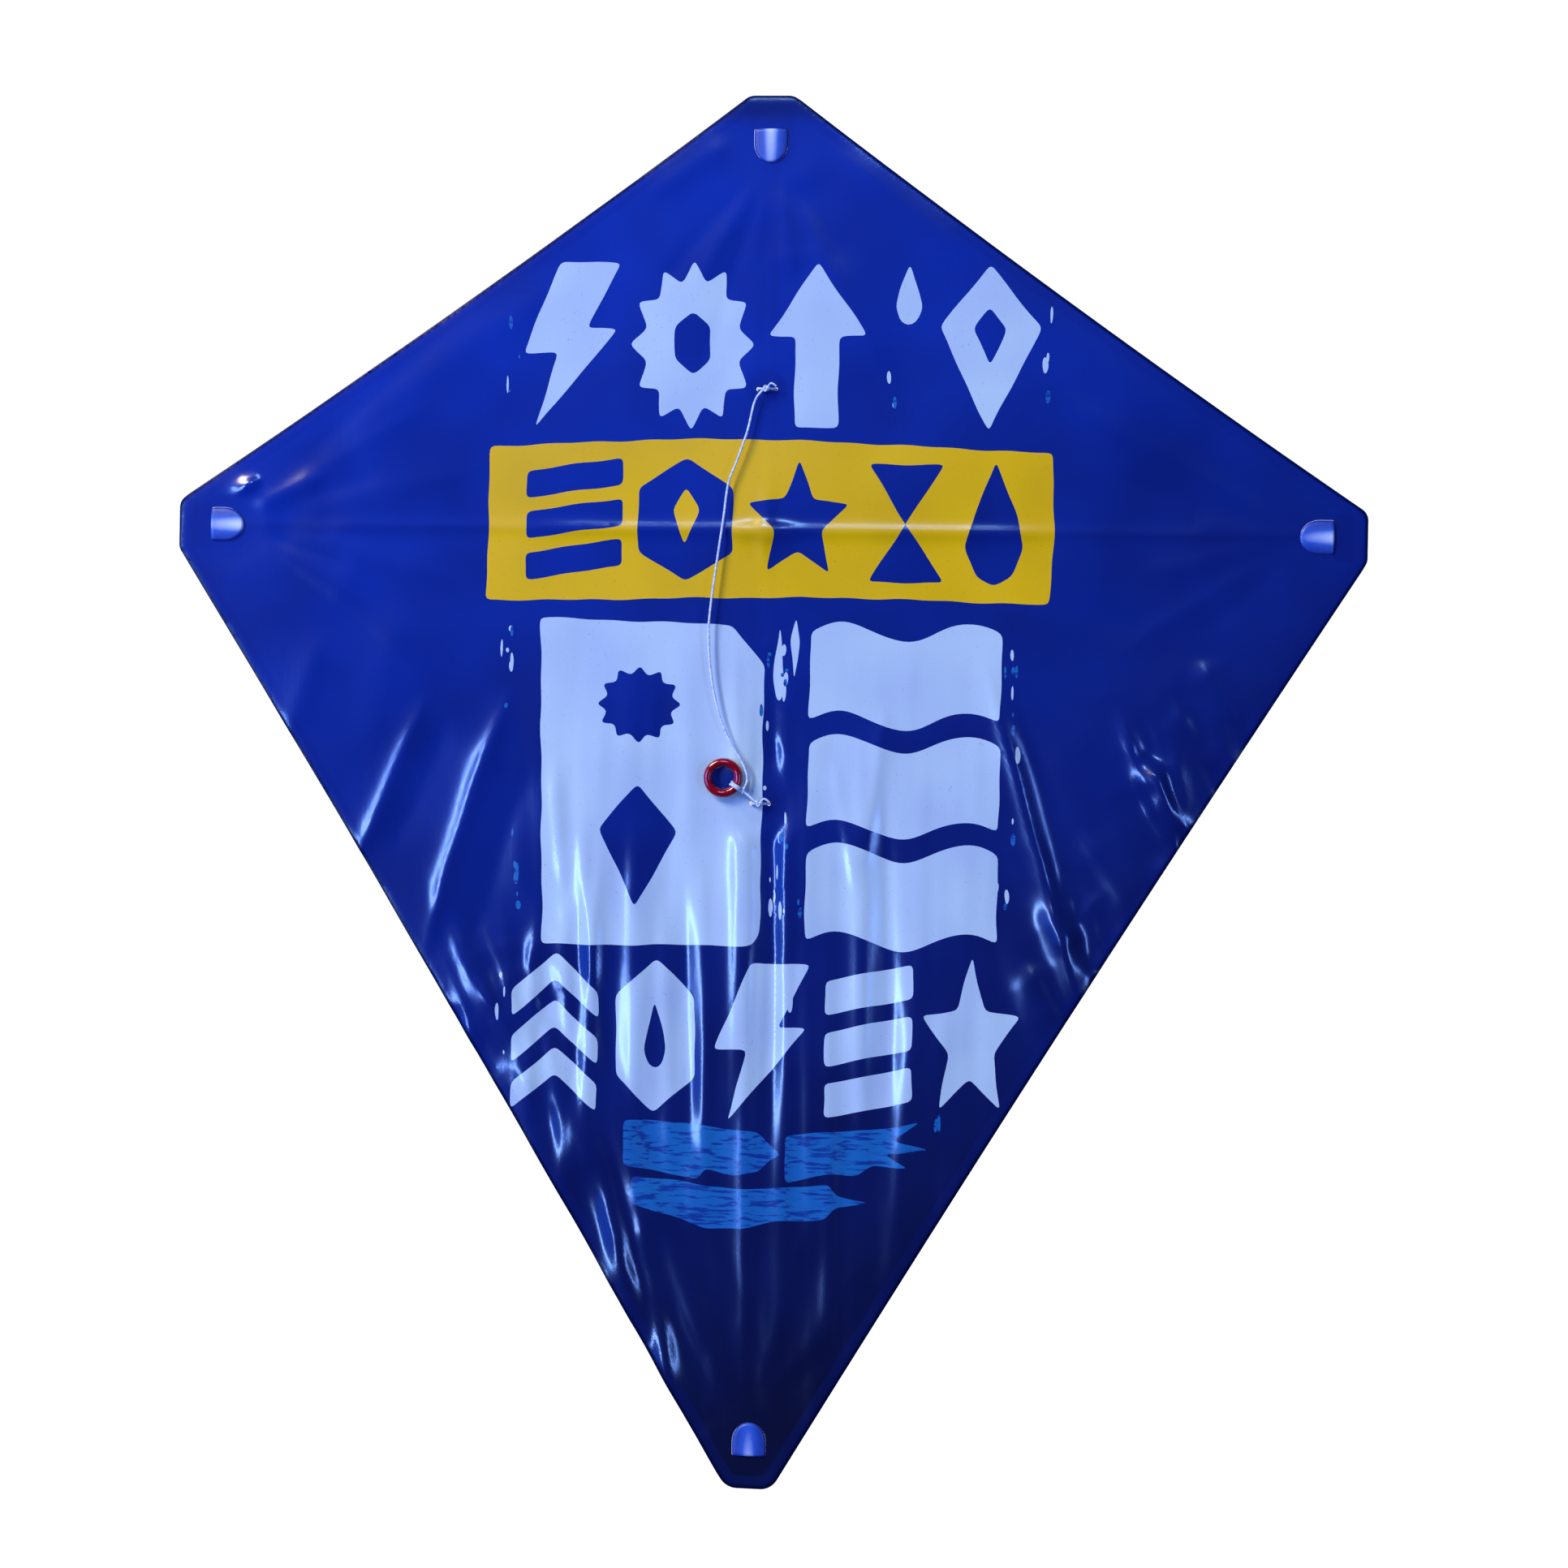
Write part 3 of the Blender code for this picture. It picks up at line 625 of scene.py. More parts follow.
def noise(x, z, size, seed):
    """Smooth noise from -1 to 1, with lumps of one size."""
    gx, gz = x / size, z / size
    ix, iz = np.floor(gx).astype(np.int64), np.floor(gz).astype(np.int64)
    fx, fz = gx - ix, gz - iz
    wx, wz = smoothstep(fx), smoothstep(fz)

    def lean(dx, dz):
        h = ((ix + dx) * 374761393 + (iz + dz) * 668265263 + seed * 974634777) & 0xFFFFFFFF
        h = ((h ^ (h >> 13)) * 1274126177) & 0xFFFFFFFF
        turn = ((h ^ (h >> 16)) & 0xFFFF) / 0xFFFF * 2 * math.pi
        return np.cos(turn) * (fx - dx) + np.sin(turn) * (fz - dz)

    low = lean(0, 0) * (1 - wx) + lean(1, 0) * wx
    high = lean(0, 1) * (1 - wx) + lean(1, 1) * wx
    return 1.5 * (low * (1 - wz) + high * wz)


def crease(x, z, x0, z0, x1, z1, width, height, sway=0.0):
    """One fold between two ends: sharp on top, and lower and narrower towards both ends."""
    length = math.hypot(x1 - x0, z1 - z0)
    ux, uz = (x1 - x0) / length, (z1 - z0) / length
    t = ((x - x0) * ux + (z - z0) * uz) / length
    wander = sway * np.sin(np.pi * t) + 0.16 * width * noise(t * length, 0 * t + x0, 30, 5)
    across = (z - z0) * ux - (x - x0) * uz - wander
    ends = smoothstep(t / 0.3) * smoothstep((1 - t) / 0.3)
    spread = width * (0.55 + 0.45 * ends)
    return height * ends * np.exp(0.45 - np.sqrt((across / spread) ** 2 + 0.2))


CREASES = [
    # left of the print
    (-170, -82, -208, -172, 5, 2.4, 2), (-158, -92, -190, -168, 9, -1.4, 1),
    (-126, -76, -170, -222, 5, 2.6, -3), (-116, -116, -152, -236, 8, -1.6, -2),
    (-186, -30, -204, -120, 13, 1.0, 3), (-222, -50, -244, -112, 9, 1.2, 0),
    # right of the print
    (110, -60, 168, -258, 4.6, 3.4, 1), (122, -66, 182, -254, 9, -3.0, 1),
    (176, -88, 206, -154, 4.2, 2.6, 1), (190, -106, 218, -154, 3.8, 3.6, -1),
    (183, -118, 208, -170, 6, -2.2, 0), (158, -146, 190, -194, 7, 1.8, 2),
    (150, -208, 176, -176, 6, 1.9, 1), (204, -80, 230, -120, 5, 2.2, 0),
    (216, -60, 240, -96, 5, 1.6, 0), (134, -212, 154, -246, 6, 2.0, 0),
    (128, -128, 252, -46, 17, 1.5, 0), (140, -30, 262, -74, 15, -1.2, 0),
    (196, -106, 211, -164, 4.5, 2.8, 0), (138, -176, 176, -236, 8, 2.0, 0),
    # along the spine, below the spar
    (-14, -40, -10, -310, 4.2, 1.6, 1.5), (-5, -60, -3, -452, 5, 2.4, -1),
    (5, -44, 8, -346, 4, -2.0, 1), (12, -62, 15, -424, 5, 2.2, 1.5),
    (22, -60, 30, -390, 6, 1.6, -1.5), (33, -190, 40, -440, 6, 2.2, 2),
    (50, -80, 58, -340, 6, 2.2, -2), (62, -112, 68, -300, 5, -1.8, 1),
    (84, -190, 60, -444, 8, 2.3, 2), (98, -226, 84, -334, 7, 1.4, 0),
    (-30, -150, -24, -352, 5, 2.0, 1), (-38, -170, -33, -320, 4.5, -1.9, 0),
    (-49, -180, -41, -340, 5, 1.8, 0), (-64, -136, -60, -316, 6, 2.2, 0),
    (-80, -146, -86, -344, 6, 2.6, -1), (-90, -170, -95, -330, 5, -2.2, 0),
    (-99, -176, -92, -344, 5.5, 2.8, 1), (-112, -190, -114, -306, 5, 2.6, -1),
    (-106, -112, -98, -190, 4, 1.5, 0), (-91, -146, -82, -240, 4.5, 1.8, 0),
    (36, -110, 50, -184, 4, 1.4, 0), (63, -80, 54, -170, 4.5, 1.6, 0),
    # along the lower left edge
    (-107, -240, -92, -350, 7, 3.3, 0), (-140, -212, -108, -304, 8, 3.5, 1),
    (-91, -266, -53, -438, 7.5, 3.5, 2), (-77, -296, -46, -430, 6, -2.8, 2),
    (-64, -316, -37, -450, 6, 2.8, 1), (-125, -212, -100, -292, 6, -2.6, 0),
    (-157, -196, -131, -274, 7, 3.0, 0), (-50, -330, -30, -440, 7, -1.4, 0),
    # small slanting nicks beside the left and bottom caps
    (-290, 4, -256, 25, 2.8, 3.6, 0), (-268, 6, -222, 27, 5, 1.2, 0),
    (-21, -448, -8, -470, 3.4, 1.8, 0),
    # soft lines of pull along the upper edges
    (-230, 36, -90, 130, 13, 1.0, 3), (230, 40, 84, 138, 13, 0.9, -3),
    (-66, 166, -16, 198, 8, 0.9, 0), (26, 196, 110, 128, 9, 1.0, 2),
]  # fmt: skip


def crumple(x, z, seed):
    """Crushed film: flat facets that meet in sharp folds."""
    along, across = 0.40 * x - 0.92 * z, 0.92 * x + 0.40 * z
    big = np.sqrt(noise(along * 0.32, across, 13, seed) ** 2 + 0.006)
    small = np.sqrt(noise(across * 0.5, along, 19, seed + 1) ** 2 + 0.006)
    return 1.0 - 1.7 * big - 0.8 * small


def patch(x, z, cx, cz, reach_x, reach_z, lean):
    c, s = math.cos(math.radians(lean)), math.sin(math.radians(lean))
    a, b = (x - cx) * c + (z - cz) * s, (z - cz) * c - (x - cx) * s
    return np.exp(-((a / reach_x) ** 2) - (b / reach_z) ** 2)


def film_height(x, z):
    """The film's height in millimetres at places on the sail."""
    folds = 0.0 * x
    for one in CREASES:
        folds += crease(x, z, *one)
    fan = np.random.default_rng(21)
    for tip, (degrees, reach) in TIPS.items():
        for k in range(9):
            lean = (k - 4) * 10 + fan.uniform(-4, 4)
            far = fan.uniform(60, 150) if abs(lean) > 8 else 60
            a = math.radians(degrees + 180 + lean)
            u, v = on_board(tip, -12, 0)
            start = (u + 14 * math.cos(a), v + 14 * math.sin(a))
            end = (u + far * math.cos(a), v + far * math.sin(a))
            height = fan.uniform(0.5, 1.1) * (1 if k % 2 else -0.7)
            folds += crease(x, z, *start, *end, fan.uniform(4.5, 8), height)
    lower = smoothstep((-z - 20) / 130) * smoothstep((150 - np.abs(x)) / 60)
    soft = 0.9 * noise(x, z, 95, 1) + 0.4 * noise(x, z * 0.6, 44, 2)
    streaks = 1.35 * noise(x, z * 0.11, 19, 3) + 0.36 * noise(x, z * 0.14, 8, 4)
    crushed = patch(x, z, -136, -252, 24, 50, -28) + 0.6 * patch(x, z, -70, -378, 14, 66, -28)
    crushed += 0.55 * patch(x, z, 207, -122, 24, 46, 33) + 0.7 * patch(x, z, 160, -200, 14, 54, 33)
    crushed += 0.3 * patch(x, z, 8, -120, 14, 70, 0)
    rough = 1.9 * crushed * crumple(x, z, 11)
    along, across = 0.36 * x - 0.93 * z, 0.93 * x + 0.36 * z
    slack = 0.0 * x
    for side, top, foot, reach in ((-1, -165, -470, 78), (1, -55, -275, 62)):
        from_edge = (HALF_WIDTH + side * -x) * 0.852 + (z + 12) * 0.523
        zone = smoothstep((reach - from_edge) / (0.7 * reach))
        slack = slack + zone * smoothstep((top - z) / 55) * smoothstep((z - foot) / 50)
    rough += 3.3 * slack * noise(across, along * 0.10, 16, 31)
    taut = 0.35 + 0.75 * smoothstep((x + 130) / 40) * smoothstep((160 - x) / 50)
    spar = taut * np.exp(-((z / 3.6) ** 2)) * smoothstep((286 - np.abs(x)) / 40)
    hump = 1.3 * np.exp(-((np.abs(x) / 15) ** 3) - (np.abs(z + 0.5) / 5.5) ** 2)
    spine = 0.8 * np.exp(-((x / 4.2) ** 2)) * np.exp(-((np.abs(z) / 17) ** 3))
    free = soft + streaks * lower + folds + rough
    near_tip = 0.0 * x
    for tip in TIPS:
        cx, cz = on_board(tip, -6, 0)
        away = np.hypot(x - cx, z - cz)
        free *= smoothstep((away - 12) / 16)
        near_tip = np.maximum(near_tip, smoothstep((50 - away) / 20))
    near_tie = 0.0 * x
    for up in TIES:
        near_tie = np.maximum(near_tie, smoothstep((24 - np.hypot(x, z - up)) / 12))
    free *= 1 - 0.93 * near_tie
    height = FILM_HEIGHT + free + spar + hump + spine
    lowest = 6.6 + 1.9 * np.maximum(np.exp(-((z / 9) ** 2)), np.maximum(near_tip, near_tie))
    highest = 16.0 - 3.9 * smoothstep((60 - np.abs(x)) / 20) * smoothstep((z + 180) / 30)
    height = lowest + softly(height - lowest)
    return highest - softly(highest - height)


def softly(room):
    """Room kept as it is while there is plenty, and never less than nothing."""
    return 0.35 * np.logaddexp(0, room / 0.35)


grid_x, grid_z = np.meshgrid(np.linspace(-290, 290, 60), np.linspace(-470, 210, 60))
tried = film_height(grid_x.ravel(), grid_z.ravel())
print("film heights in mm:", round(float(tried.min()), 2), round(float(tried.max()), 2))

# %% [markdown]
# ## Meshing the film
# Every outline above becomes part of the mesh: a constrained triangulation of evenly spread points keeps
# the ink's edges crisp at any distance, and each triangle then takes the ink that covers it. The edge is
# folded back by 6.5 mm all round and welded, which gives the sail its firm rim.

# %% Triangles
STEP = 2.1
HEM_WIDTH = 6.5


def inside(x, z, loop):
    loop = np.asarray(loop)
    hit = np.zeros(len(x), dtype=bool)
    near = (x > loop[:, 0].min()) & (x < loop[:, 0].max())
    near = np.nonzero(near & (z > loop[:, 1].min()) & (z < loop[:, 1].max()))[0]
    px, pz, odd = x[near], z[near], np.zeros(len(near), dtype=bool)
    for (x0, z0), (x1, z1) in zip(loop, np.roll(loop, -1, axis=0)):
        crosses = (z0 > pz) != (z1 > pz)
        with np.errstate(divide="ignore", invalid="ignore"):
            odd ^= crosses & (px < (x1 - x0) * (pz - z0) / (z1 - z0) + x0)
    hit[near] = odd
    return hit


def covered(x, z, signs):
    found = np.zeros(len(x), dtype=bool)
    for sign in signs:
        odd = np.zeros(len(x), dtype=bool)
        for loop in sign:
            odd ^= inside(x, z, loop)
        found |= odd
    return found


loops = [sail_edge, *windows.values(), *tie_holes]
loops += [loop for sign in (*pale_signs, *yellow_signs, *stroke_signs) for loop in sign]
corners, edges = [], []
for loop in loops:
    start = len(corners)
    corners += [(float(x), float(z)) for x, z in loop]
    edges += [(start + i, start + (i + 1) % len(loop)) for i in range(len(loop))]
tree_of_corners = kdtree.KDTree(len(corners))
for i, (x, z) in enumerate(corners):
    tree_of_corners.insert((x, z, 0), i)
tree_of_corners.balance()
rows = int((NOSE_UP + TAIL_DOWN) / (STEP * 0.866))
spread = []
for j in range(1, rows):
    z = -TAIL_DOWN + j * STEP * 0.866
    for x in np.arange(-HALF_WIDTH + (j % 2) * STEP / 2, HALF_WIDTH, STEP):
        spread.append((x, z))
spread = np.array(spread)
spread = spread[inside(spread[:, 0], spread[:, 1], sail_edge)]
spread = [(x, z) for x, z in spread if tree_of_corners.find((x, z, 0))[2] > 0.55 * STEP]
places = [Vector(p) for p in (*corners, *spread)]
flat, _, triangles, origin, _, _ = geometry.delaunay_2d_cdt(places, edges, [], 0, 1e-5)
flat = np.array([(p.x, p.y) for p in flat])
triangles = np.array(triangles)
middle = flat[triangles].mean(axis=1)
keep = inside(middle[:, 0], middle[:, 1], sail_edge)
for loop in (*windows.values(), *tie_holes):
    keep &= ~inside(middle[:, 0], middle[:, 1], loop)
triangles, middle = triangles[keep], middle[keep]
ink = np.zeros(len(triangles), dtype=np.int32)
ink[covered(middle[:, 0], middle[:, 1], pale_signs)] = 1
ink[covered(middle[:, 0], middle[:, 1], yellow_signs)] = 2
ink[covered(middle[:, 0], middle[:, 1], stroke_signs)] = 3
print("film triangles:", len(triangles), "inked:", int((ink > 0).sum()))

# %% [markdown]
# ## Film and inks
# The sail is blown polyethylene film: IOR 1.51, glossy, with faint lines from the die and a haze of tiny
# creases. Its back surface mirrors too, which nearly doubles its shine, and a fifth of the light passes
# through it. One function makes that film, and the blue and every ink start from it.

# %% The film's own finish
die_line_mm, crinkle_mm = 1.6, 5.0


def film_finish(name, roughness, glow):
    """Polyethylene film: a shader with a translucent share, and the film's own relief."""
    made, tree, shader = new_finish(
        name, {"Roughness": roughness, "IOR": 1.51, "Specular IOR Level": 0.95}
    )
    place = add_node(tree, "ShaderNodeTexCoord")
    lines = add_node(
        tree, "ShaderNodeMapping", {"Scale": (1.0, 1.0, 0.04)}, {"Vector": place.outputs["Object"]}
    )
    die = add_node(
        tree,
        "ShaderNodeTexNoise",
        {"Scale": 1000 / die_line_mm, "Detail": 2.0},
        {"Vector": lines.outputs["Vector"]},
    )
    crinkle = add_node(
        tree,
        "ShaderNodeTexNoise",
        {"Scale": 1000 / crinkle_mm, "Detail": 4.0, "Roughness": 0.55},
        {"Vector": place.outputs["Object"]},
    )
    first = add_node(
        tree,
        "ShaderNodeBump",
        {"Strength": 0.14, "Distance": 0.0003},
        {"Height": crinkle.outputs["Fac"]},
    )
    second = add_node(
        tree,
        "ShaderNodeBump",
        {"Strength": 0.10, "Distance": 0.0002},
        {"Height": die.outputs["Fac"], "Normal": first.outputs["Normal"]},
    )
    tree.links.new(second.outputs["Normal"], shader.inputs["Normal"])
    through = add_node(tree, "ShaderNodeBsdfTranslucent")
    mixed = add_node(
        tree,
        "ShaderNodeMixShader",
        {"Fac": glow},
        {1: shader.outputs["BSDF"], 2: through.outputs["BSDF"]},
    )
    tree.links.new(mixed.outputs["Shader"], tree.nodes["Material Output"].inputs["Surface"])
    return made, tree, shader, through, place


def use_colour(tree, source, *shaders):
    for one in shaders:
        socket = "Base Color" if "Base Color" in one.inputs else "Color"
        tree.links.new(source, one.inputs[socket])


print("relief in mm:", die_line_mm, crinkle_mm)

# %% [markdown]
# ## The blue, with painted shade
# The blue darkens from royal at the nose to navy at the tail, and that darkening is painted shade: a ramp
# follows a slanting line down the sail, with a slow mottle over it. Above its window the nose carries more
# painted shade, and the welded seam along the edge is darker still, also painted shade, and dull.

# %% Blue film
fade_mm = 62.5
film_blue, tree, shader, through, place = film_finish("blown_polyethylene_film", 0.195, 0.22)
parts = add_node(tree, "ShaderNodeSeparateXYZ", links={0: place.outputs["Object"]})
# Painted shade: the blue darkens along a slanting line, towards the tail and the right side.
painted_shade_slope = add_node(
    tree,
    "ShaderNodeMath",
    {1: -0.45},
    {0: parts.outputs["X"], 2: parts.outputs["Z"]},
    operation="MULTIPLY_ADD",
)
painted_shade_fade = add_node(
    tree, "ShaderNodeMapRange", {"From Min": -0.46, "From Max": 0.16}, {"Value": painted_shade_slope.outputs[0]}
)
blue_with_painted_shade = add_node(tree, "ShaderNodeValToRGB", links={"Fac": painted_shade_fade.outputs["Result"]})
blue_with_painted_shade.color_ramp.elements[0].color = colour("#050F3A")
blue_with_painted_shade.color_ramp.elements[1].color = colour("#022DA2")
blue_with_painted_shade.color_ramp.elements.new(0.45).color = colour("#042078")
mottle = add_node(
    tree,
    "ShaderNodeTexNoise",
    {"Scale": 1000 / fade_mm, "Detail": 2.0},
    {"Vector": place.outputs["Object"]},
)
deeper = add_node(
    tree,
    "ShaderNodeMix",
    {0: 0.3, 7: colour("#041873")},
    {6: blue_with_painted_shade.outputs["Color"]},
    data_type="RGBA",
    blend_type="MULTIPLY",
)
shade = add_node(
    tree,
    "ShaderNodeMapRange",
    {"From Min": 0.35, "From Max": 0.7, "To Min": 0.0, "To Max": 0.35},
    {"Value": mottle.outputs["Fac"]},
)
tree.links.new(shade.outputs["Result"], deeper.inputs[0])
# The rim value is RIM_REACH at the very edge, falls by 1 for each millimetre inwards, and is 0 on pieces
# without an edge of their own.
RIM_REACH = 20.0
HEM_START = RIM_REACH - HEM_WIDTH
rim = add_node(tree, "ShaderNodeAttribute", attribute_name="rim")
strip = add_node(
    tree,
    "ShaderNodeMapRange",
    {"From Min": HEM_START, "From Max": HEM_START + 0.4, "To Min": 0.0, "To Max": 0.07},
    {"Value": rim.outputs["Fac"]},
)
hemmed = add_node(
    tree,
    "ShaderNodeMix",
    {7: colour("#0A38C8")},
    {0: strip.outputs["Result"], 6: deeper.outputs[2]},
    data_type="RGBA",
)
# Painted shade: within two millimetres of the edge the blue is darkened almost to black.
edge_painted_shade = add_node(
    tree,
    "ShaderNodeMapRange",
    {"From Min": RIM_REACH - 1.9, "From Max": RIM_REACH - 0.7, "To Min": 0.0, "To Max": 0.8},
    {"Value": rim.outputs["Fac"]},
)
edge_with_painted_shade = add_node(
    tree,
    "ShaderNodeMix",
    {7: colour("#020A2C")},
    {0: edge_painted_shade.outputs["Result"], 6: hemmed.outputs[2]},
    data_type="RGBA",
)
# Painted shade: the film above the nose's window is darkened towards navy.
nose_painted_shade = add_node(
    tree,
    "ShaderNodeMapRange",
    {"From Min": (NOSE_UP - 15) / 1000, "From Max": (NOSE_UP - 8) / 1000, "To Max": 0.55},
    {"Value": parts.outputs["Z"]},
)
shaded = add_node(
    tree,
    "ShaderNodeMix",
    {7: colour("#061650")},
    {0: nose_painted_shade.outputs["Result"], 6: edge_with_painted_shade.outputs[2]},
    data_type="RGBA",
)
use_colour(tree, shaded.outputs[2], shader, through)
dulled = add_node(
    tree,
    "ShaderNodeMapRange",
    {"From Min": RIM_REACH - 2.6, "From Max": RIM_REACH - 0.9, "To Min": 0.95, "To Max": 0.08},
    {"Value": rim.outputs["Fac"]},
)
tree.links.new(dulled.outputs["Result"], shader.inputs["Specular IOR Level"])
print("fade colours:", len(blue_with_painted_shade.color_ramp.elements))

# %% [markdown]
# ## Inks
# The inks are solvent ink for film: opaque, a touch duller than the film, with pinholes where it shows
# through. The dry strokes are the same ink, dragged thin, so their gaps are long and level.

# %% Ink finishes
pinhole_mm, wash_mm = 1.1, 45.45


def ink_finish(name, main, thin, coverage, stretch=(1.0, 1.0, 1.0), size=None, roughness=0.23):
    """An opaque ink on the film. Where the noise is low, it thins to the colour below."""
    made, tree, shader, through, place = film_finish(name, roughness, 0.10)
    drawn = add_node(tree, "ShaderNodeMapping", {"Scale": stretch}, {"Vector": place.outputs["Object"]})
    grain = add_node(
        tree,
        "ShaderNodeTexNoise",
        {"Scale": 1000 / (size or pinhole_mm), "Detail": 3.0, "Roughness": 0.6},
        {"Vector": drawn.outputs["Vector"]},
    )
    ramp = add_node(tree, "ShaderNodeValToRGB", links={"Fac": grain.outputs["Fac"]})
    ramp.color_ramp.elements[0].position = coverage - 0.04
    ramp.color_ramp.elements[1].position = coverage + 0.04
    ramp.color_ramp.elements[0].color = colour(thin)
    ramp.color_ramp.elements[1].color = colour(main)
    wash = add_node(
        tree,
        "ShaderNodeTexNoise",
        {"Scale": 1000 / wash_mm, "Detail": 1.0},
        {"Vector": place.outputs["Object"]},
    )
    tone = add_node(
        tree,
        "ShaderNodeMapRange",
        {"From Min": 0.3, "From Max": 0.7, "To Min": 0.0, "To Max": 0.25},
        {"Value": wash.outputs["Fac"]},
    )
    uneven = add_node(
        tree,
        "ShaderNodeMix",
        {7: colour("#B4B0F0")},
        {0: tone.outputs["Result"], 6: ramp.outputs["Color"]},
        data_type="RGBA",
        blend_type="MULTIPLY",
    )
    use_colour(tree, uneven.outputs[2], shader, through)
    return made


pale_ink = ink_finish("pale_blue_solvent_ink", "#BAD0E2", "#7F9BD0", 0.30)
yellow_ink = ink_finish("yellow_solvent_ink", "#EABC00", "#B59200", 0.30)
stroke_ink = ink_finish(
    "light_blue_dry_ink", "#1768AE", "#0A3A8C", 0.45, stretch=(0.10, 1.0, 1.0), size=1.7
)

print("inks:", pale_ink.name, yellow_ink.name, stroke_ink.name)

# %% [markdown]
# ## Sewing the sail together
# The triangles are lifted to the film's height, and then the edge is rolled over: each ring of points
# repeats the outline a little further in and back, first round the fold and then along the hem. The rim
# value is kept on every point, because the blue film's painted shade at the edge, its hem band and its dull
# rim need to know how far the edge is.

# %% The film's mesh and its folded edge
heights = film_height(flat[:, 0], flat[:, 1])
index_of = {i: k for k, group in enumerate(origin) for i in group if i < len(sail_edge)}
edge_ids = [index_of[i] for i in range(len(sail_edge))]
edge_flat = flat[edge_ids]
ahead, behind = np.roll(edge_flat, -1, axis=0), np.roll(edge_flat, 1, axis=0)
way = ahead - behind
way /= np.linalg.norm(way, axis=1)[:, None]
inward = np.stack([-way[:, 1], way[:, 0]], axis=1)
if float((inward * -edge_flat).sum()) < 0:
    inward = -inward
away = np.full(len(flat), 99.0)
for start, end in zip(sail_edge[::3], [*sail_edge[3::3], sail_edge[0]]):
    start, end = np.array(start), np.array(end)
    along = np.clip(((flat - start) @ (end - start)) / ((end - start) @ (end - start)), 0, 1)
    away = np.minimum(away, np.linalg.norm(flat - start - along[:, None] * (end - start), axis=1))
EDGE_ROUND, EDGE_SINK = 0.9, 0.25
heights -= EDGE_SINK * np.exp(-((away / EDGE_ROUND) ** 2))
points = np.stack([flat[:, 0], -heights, flat[:, 1]], axis=1)
rim_values = [RIM_REACH - np.minimum(away, RIM_REACH)]
faces = [tuple(t) for t in triangles]
finish_ids = list(ink)
ring_before = np.array(edge_ids)
HEM_DROP = 2 * FOLD
HEM_RINGS = (
    (-0.12, 0.05), (-FOLD, FOLD), (-0.12, 0.29), (0.0, HEM_DROP), (3.2, HEM_DROP), (HEM_WIDTH, HEM_DROP),
)  # fmt: skip
for inset, back in HEM_RINGS:
    spots = edge_flat + inward * inset
    depth = film_height(spots[:, 0], spots[:, 1]) if inset > 1 else heights[edge_ids]
    ring_now = len(points) + np.arange(len(spots))
    points = np.concatenate([points, np.stack([spots[:, 0], -(depth - back), spots[:, 1]], axis=1)])
    rim_values.append(np.full(len(spots), RIM_REACH - 1.0))
    for i in range(len(spots)):
        k = (i + 1) % len(spots)
        faces.append((ring_before[i], ring_now[i], ring_now[k], ring_before[k]))
        finish_ids.append(0)
    ring_before = ring_now
sail_film = new_piece(
    "sail_film",
    points * MM,
    faces,
    "kite",
    [film_blue, pale_ink, yellow_ink, stroke_ink],
    face_finish=finish_ids,
)
rim_layer = sail_film.data.attributes.new("rim", "FLOAT", "POINT")
rim_layer.data.foreach_set("value", np.concatenate(rim_values))
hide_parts("sail")
print("film points:", len(points))

# %% [markdown]
# ## Pockets
# Behind each tip a small pouch of the same film holds the cap. It is a flat margin, welded to the sail,
# and a pouch that is pulled tight over the cap's outer end. It is lofted from the margin's outline
# inwards and back, with small gathers where the film had to take up its fullness.

# %% Pockets
MARGIN_HALF, MARGIN_END, MARGIN_CORNER = 11.5, 14.0, 6.0
POCKET_MOUTH = 0.8
SECTION = (
    (0.0, 8.78), (1.2, 8.80), (1.9, 8.62), (2.15, 8.0), (2.2, 6.4), (2.45, 5.0),
    (3.2, 4.05), (4.6, 3.55), (6.4, 3.35),
)  # fmt: skip


def pocket_path():
    """The margin's outline as an open path from one side of the mouth, round the tip, to the other."""
    corner = MARGIN_CORNER
    straight = [(u, -MARGIN_HALF) for u in np.linspace(POCKET_MOUTH, MARGIN_END - corner, 6)][:-1]
    path = straight + arc((MARGIN_END - corner, corner - MARGIN_HALF), corner, 270, 360, 10)
    path += [(MARGIN_END, v) for v in (-3.5, -1.2, 1.2, 3.5)]
    path += arc((MARGIN_END - corner, MARGIN_HALF - corner), corner, 0, 90, 10)
    return path + [(u, -v) for u, v in reversed(straight)]


path = np.array(pocket_path())
ways = np.gradient(path, axis=0)
ways /= np.linalg.norm(ways, axis=1)[:, None]
pocket_inward = np.stack([-ways[:, 1], ways[:, 0]], axis=1)
pocket_inward[:5], pocket_inward[-5:] = (0, 1), (0, -1)
for number, tip in enumerate(TIPS):
    points, faces = [], []
    count = len(path)
    for level, (inset, height) in enumerate(SECTION):
        for i, ((u, v), (nu, nv)) in enumerate(zip(path, pocket_inward)):
            gather = 0.14 * math.sin(2.3 * i + number) * smoothstep((level - 2) / 3)
            x, z = on_board(tip, u + nu * inset, v + nv * inset)
            points.append((x * MM, -(height + gather) * MM, z * MM))
    for level in range(len(SECTION) - 1):
        for i in range(count - 1):
            a = level * count + i
            faces.append((a, a + 1, a + 1 + count, a + count))
    last = (len(SECTION) - 1) * count
    for i in range(count // 2 - 1):
        faces.append((last + i, last + i + 1, last + count - 2 - i, last + count - 1 - i))
    pocket = new_piece(tip + "_pocket_film", points, faces, "kite", [film_blue])
    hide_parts(tip + "_pocket")
print("pocket faces:", len(faces))

# %% [markdown]
# ## Tie patches
# A disc of the same film backs each pair of holes, so that the line can't tear it. The CAD discs have the
# right shape and only need the film's finish.

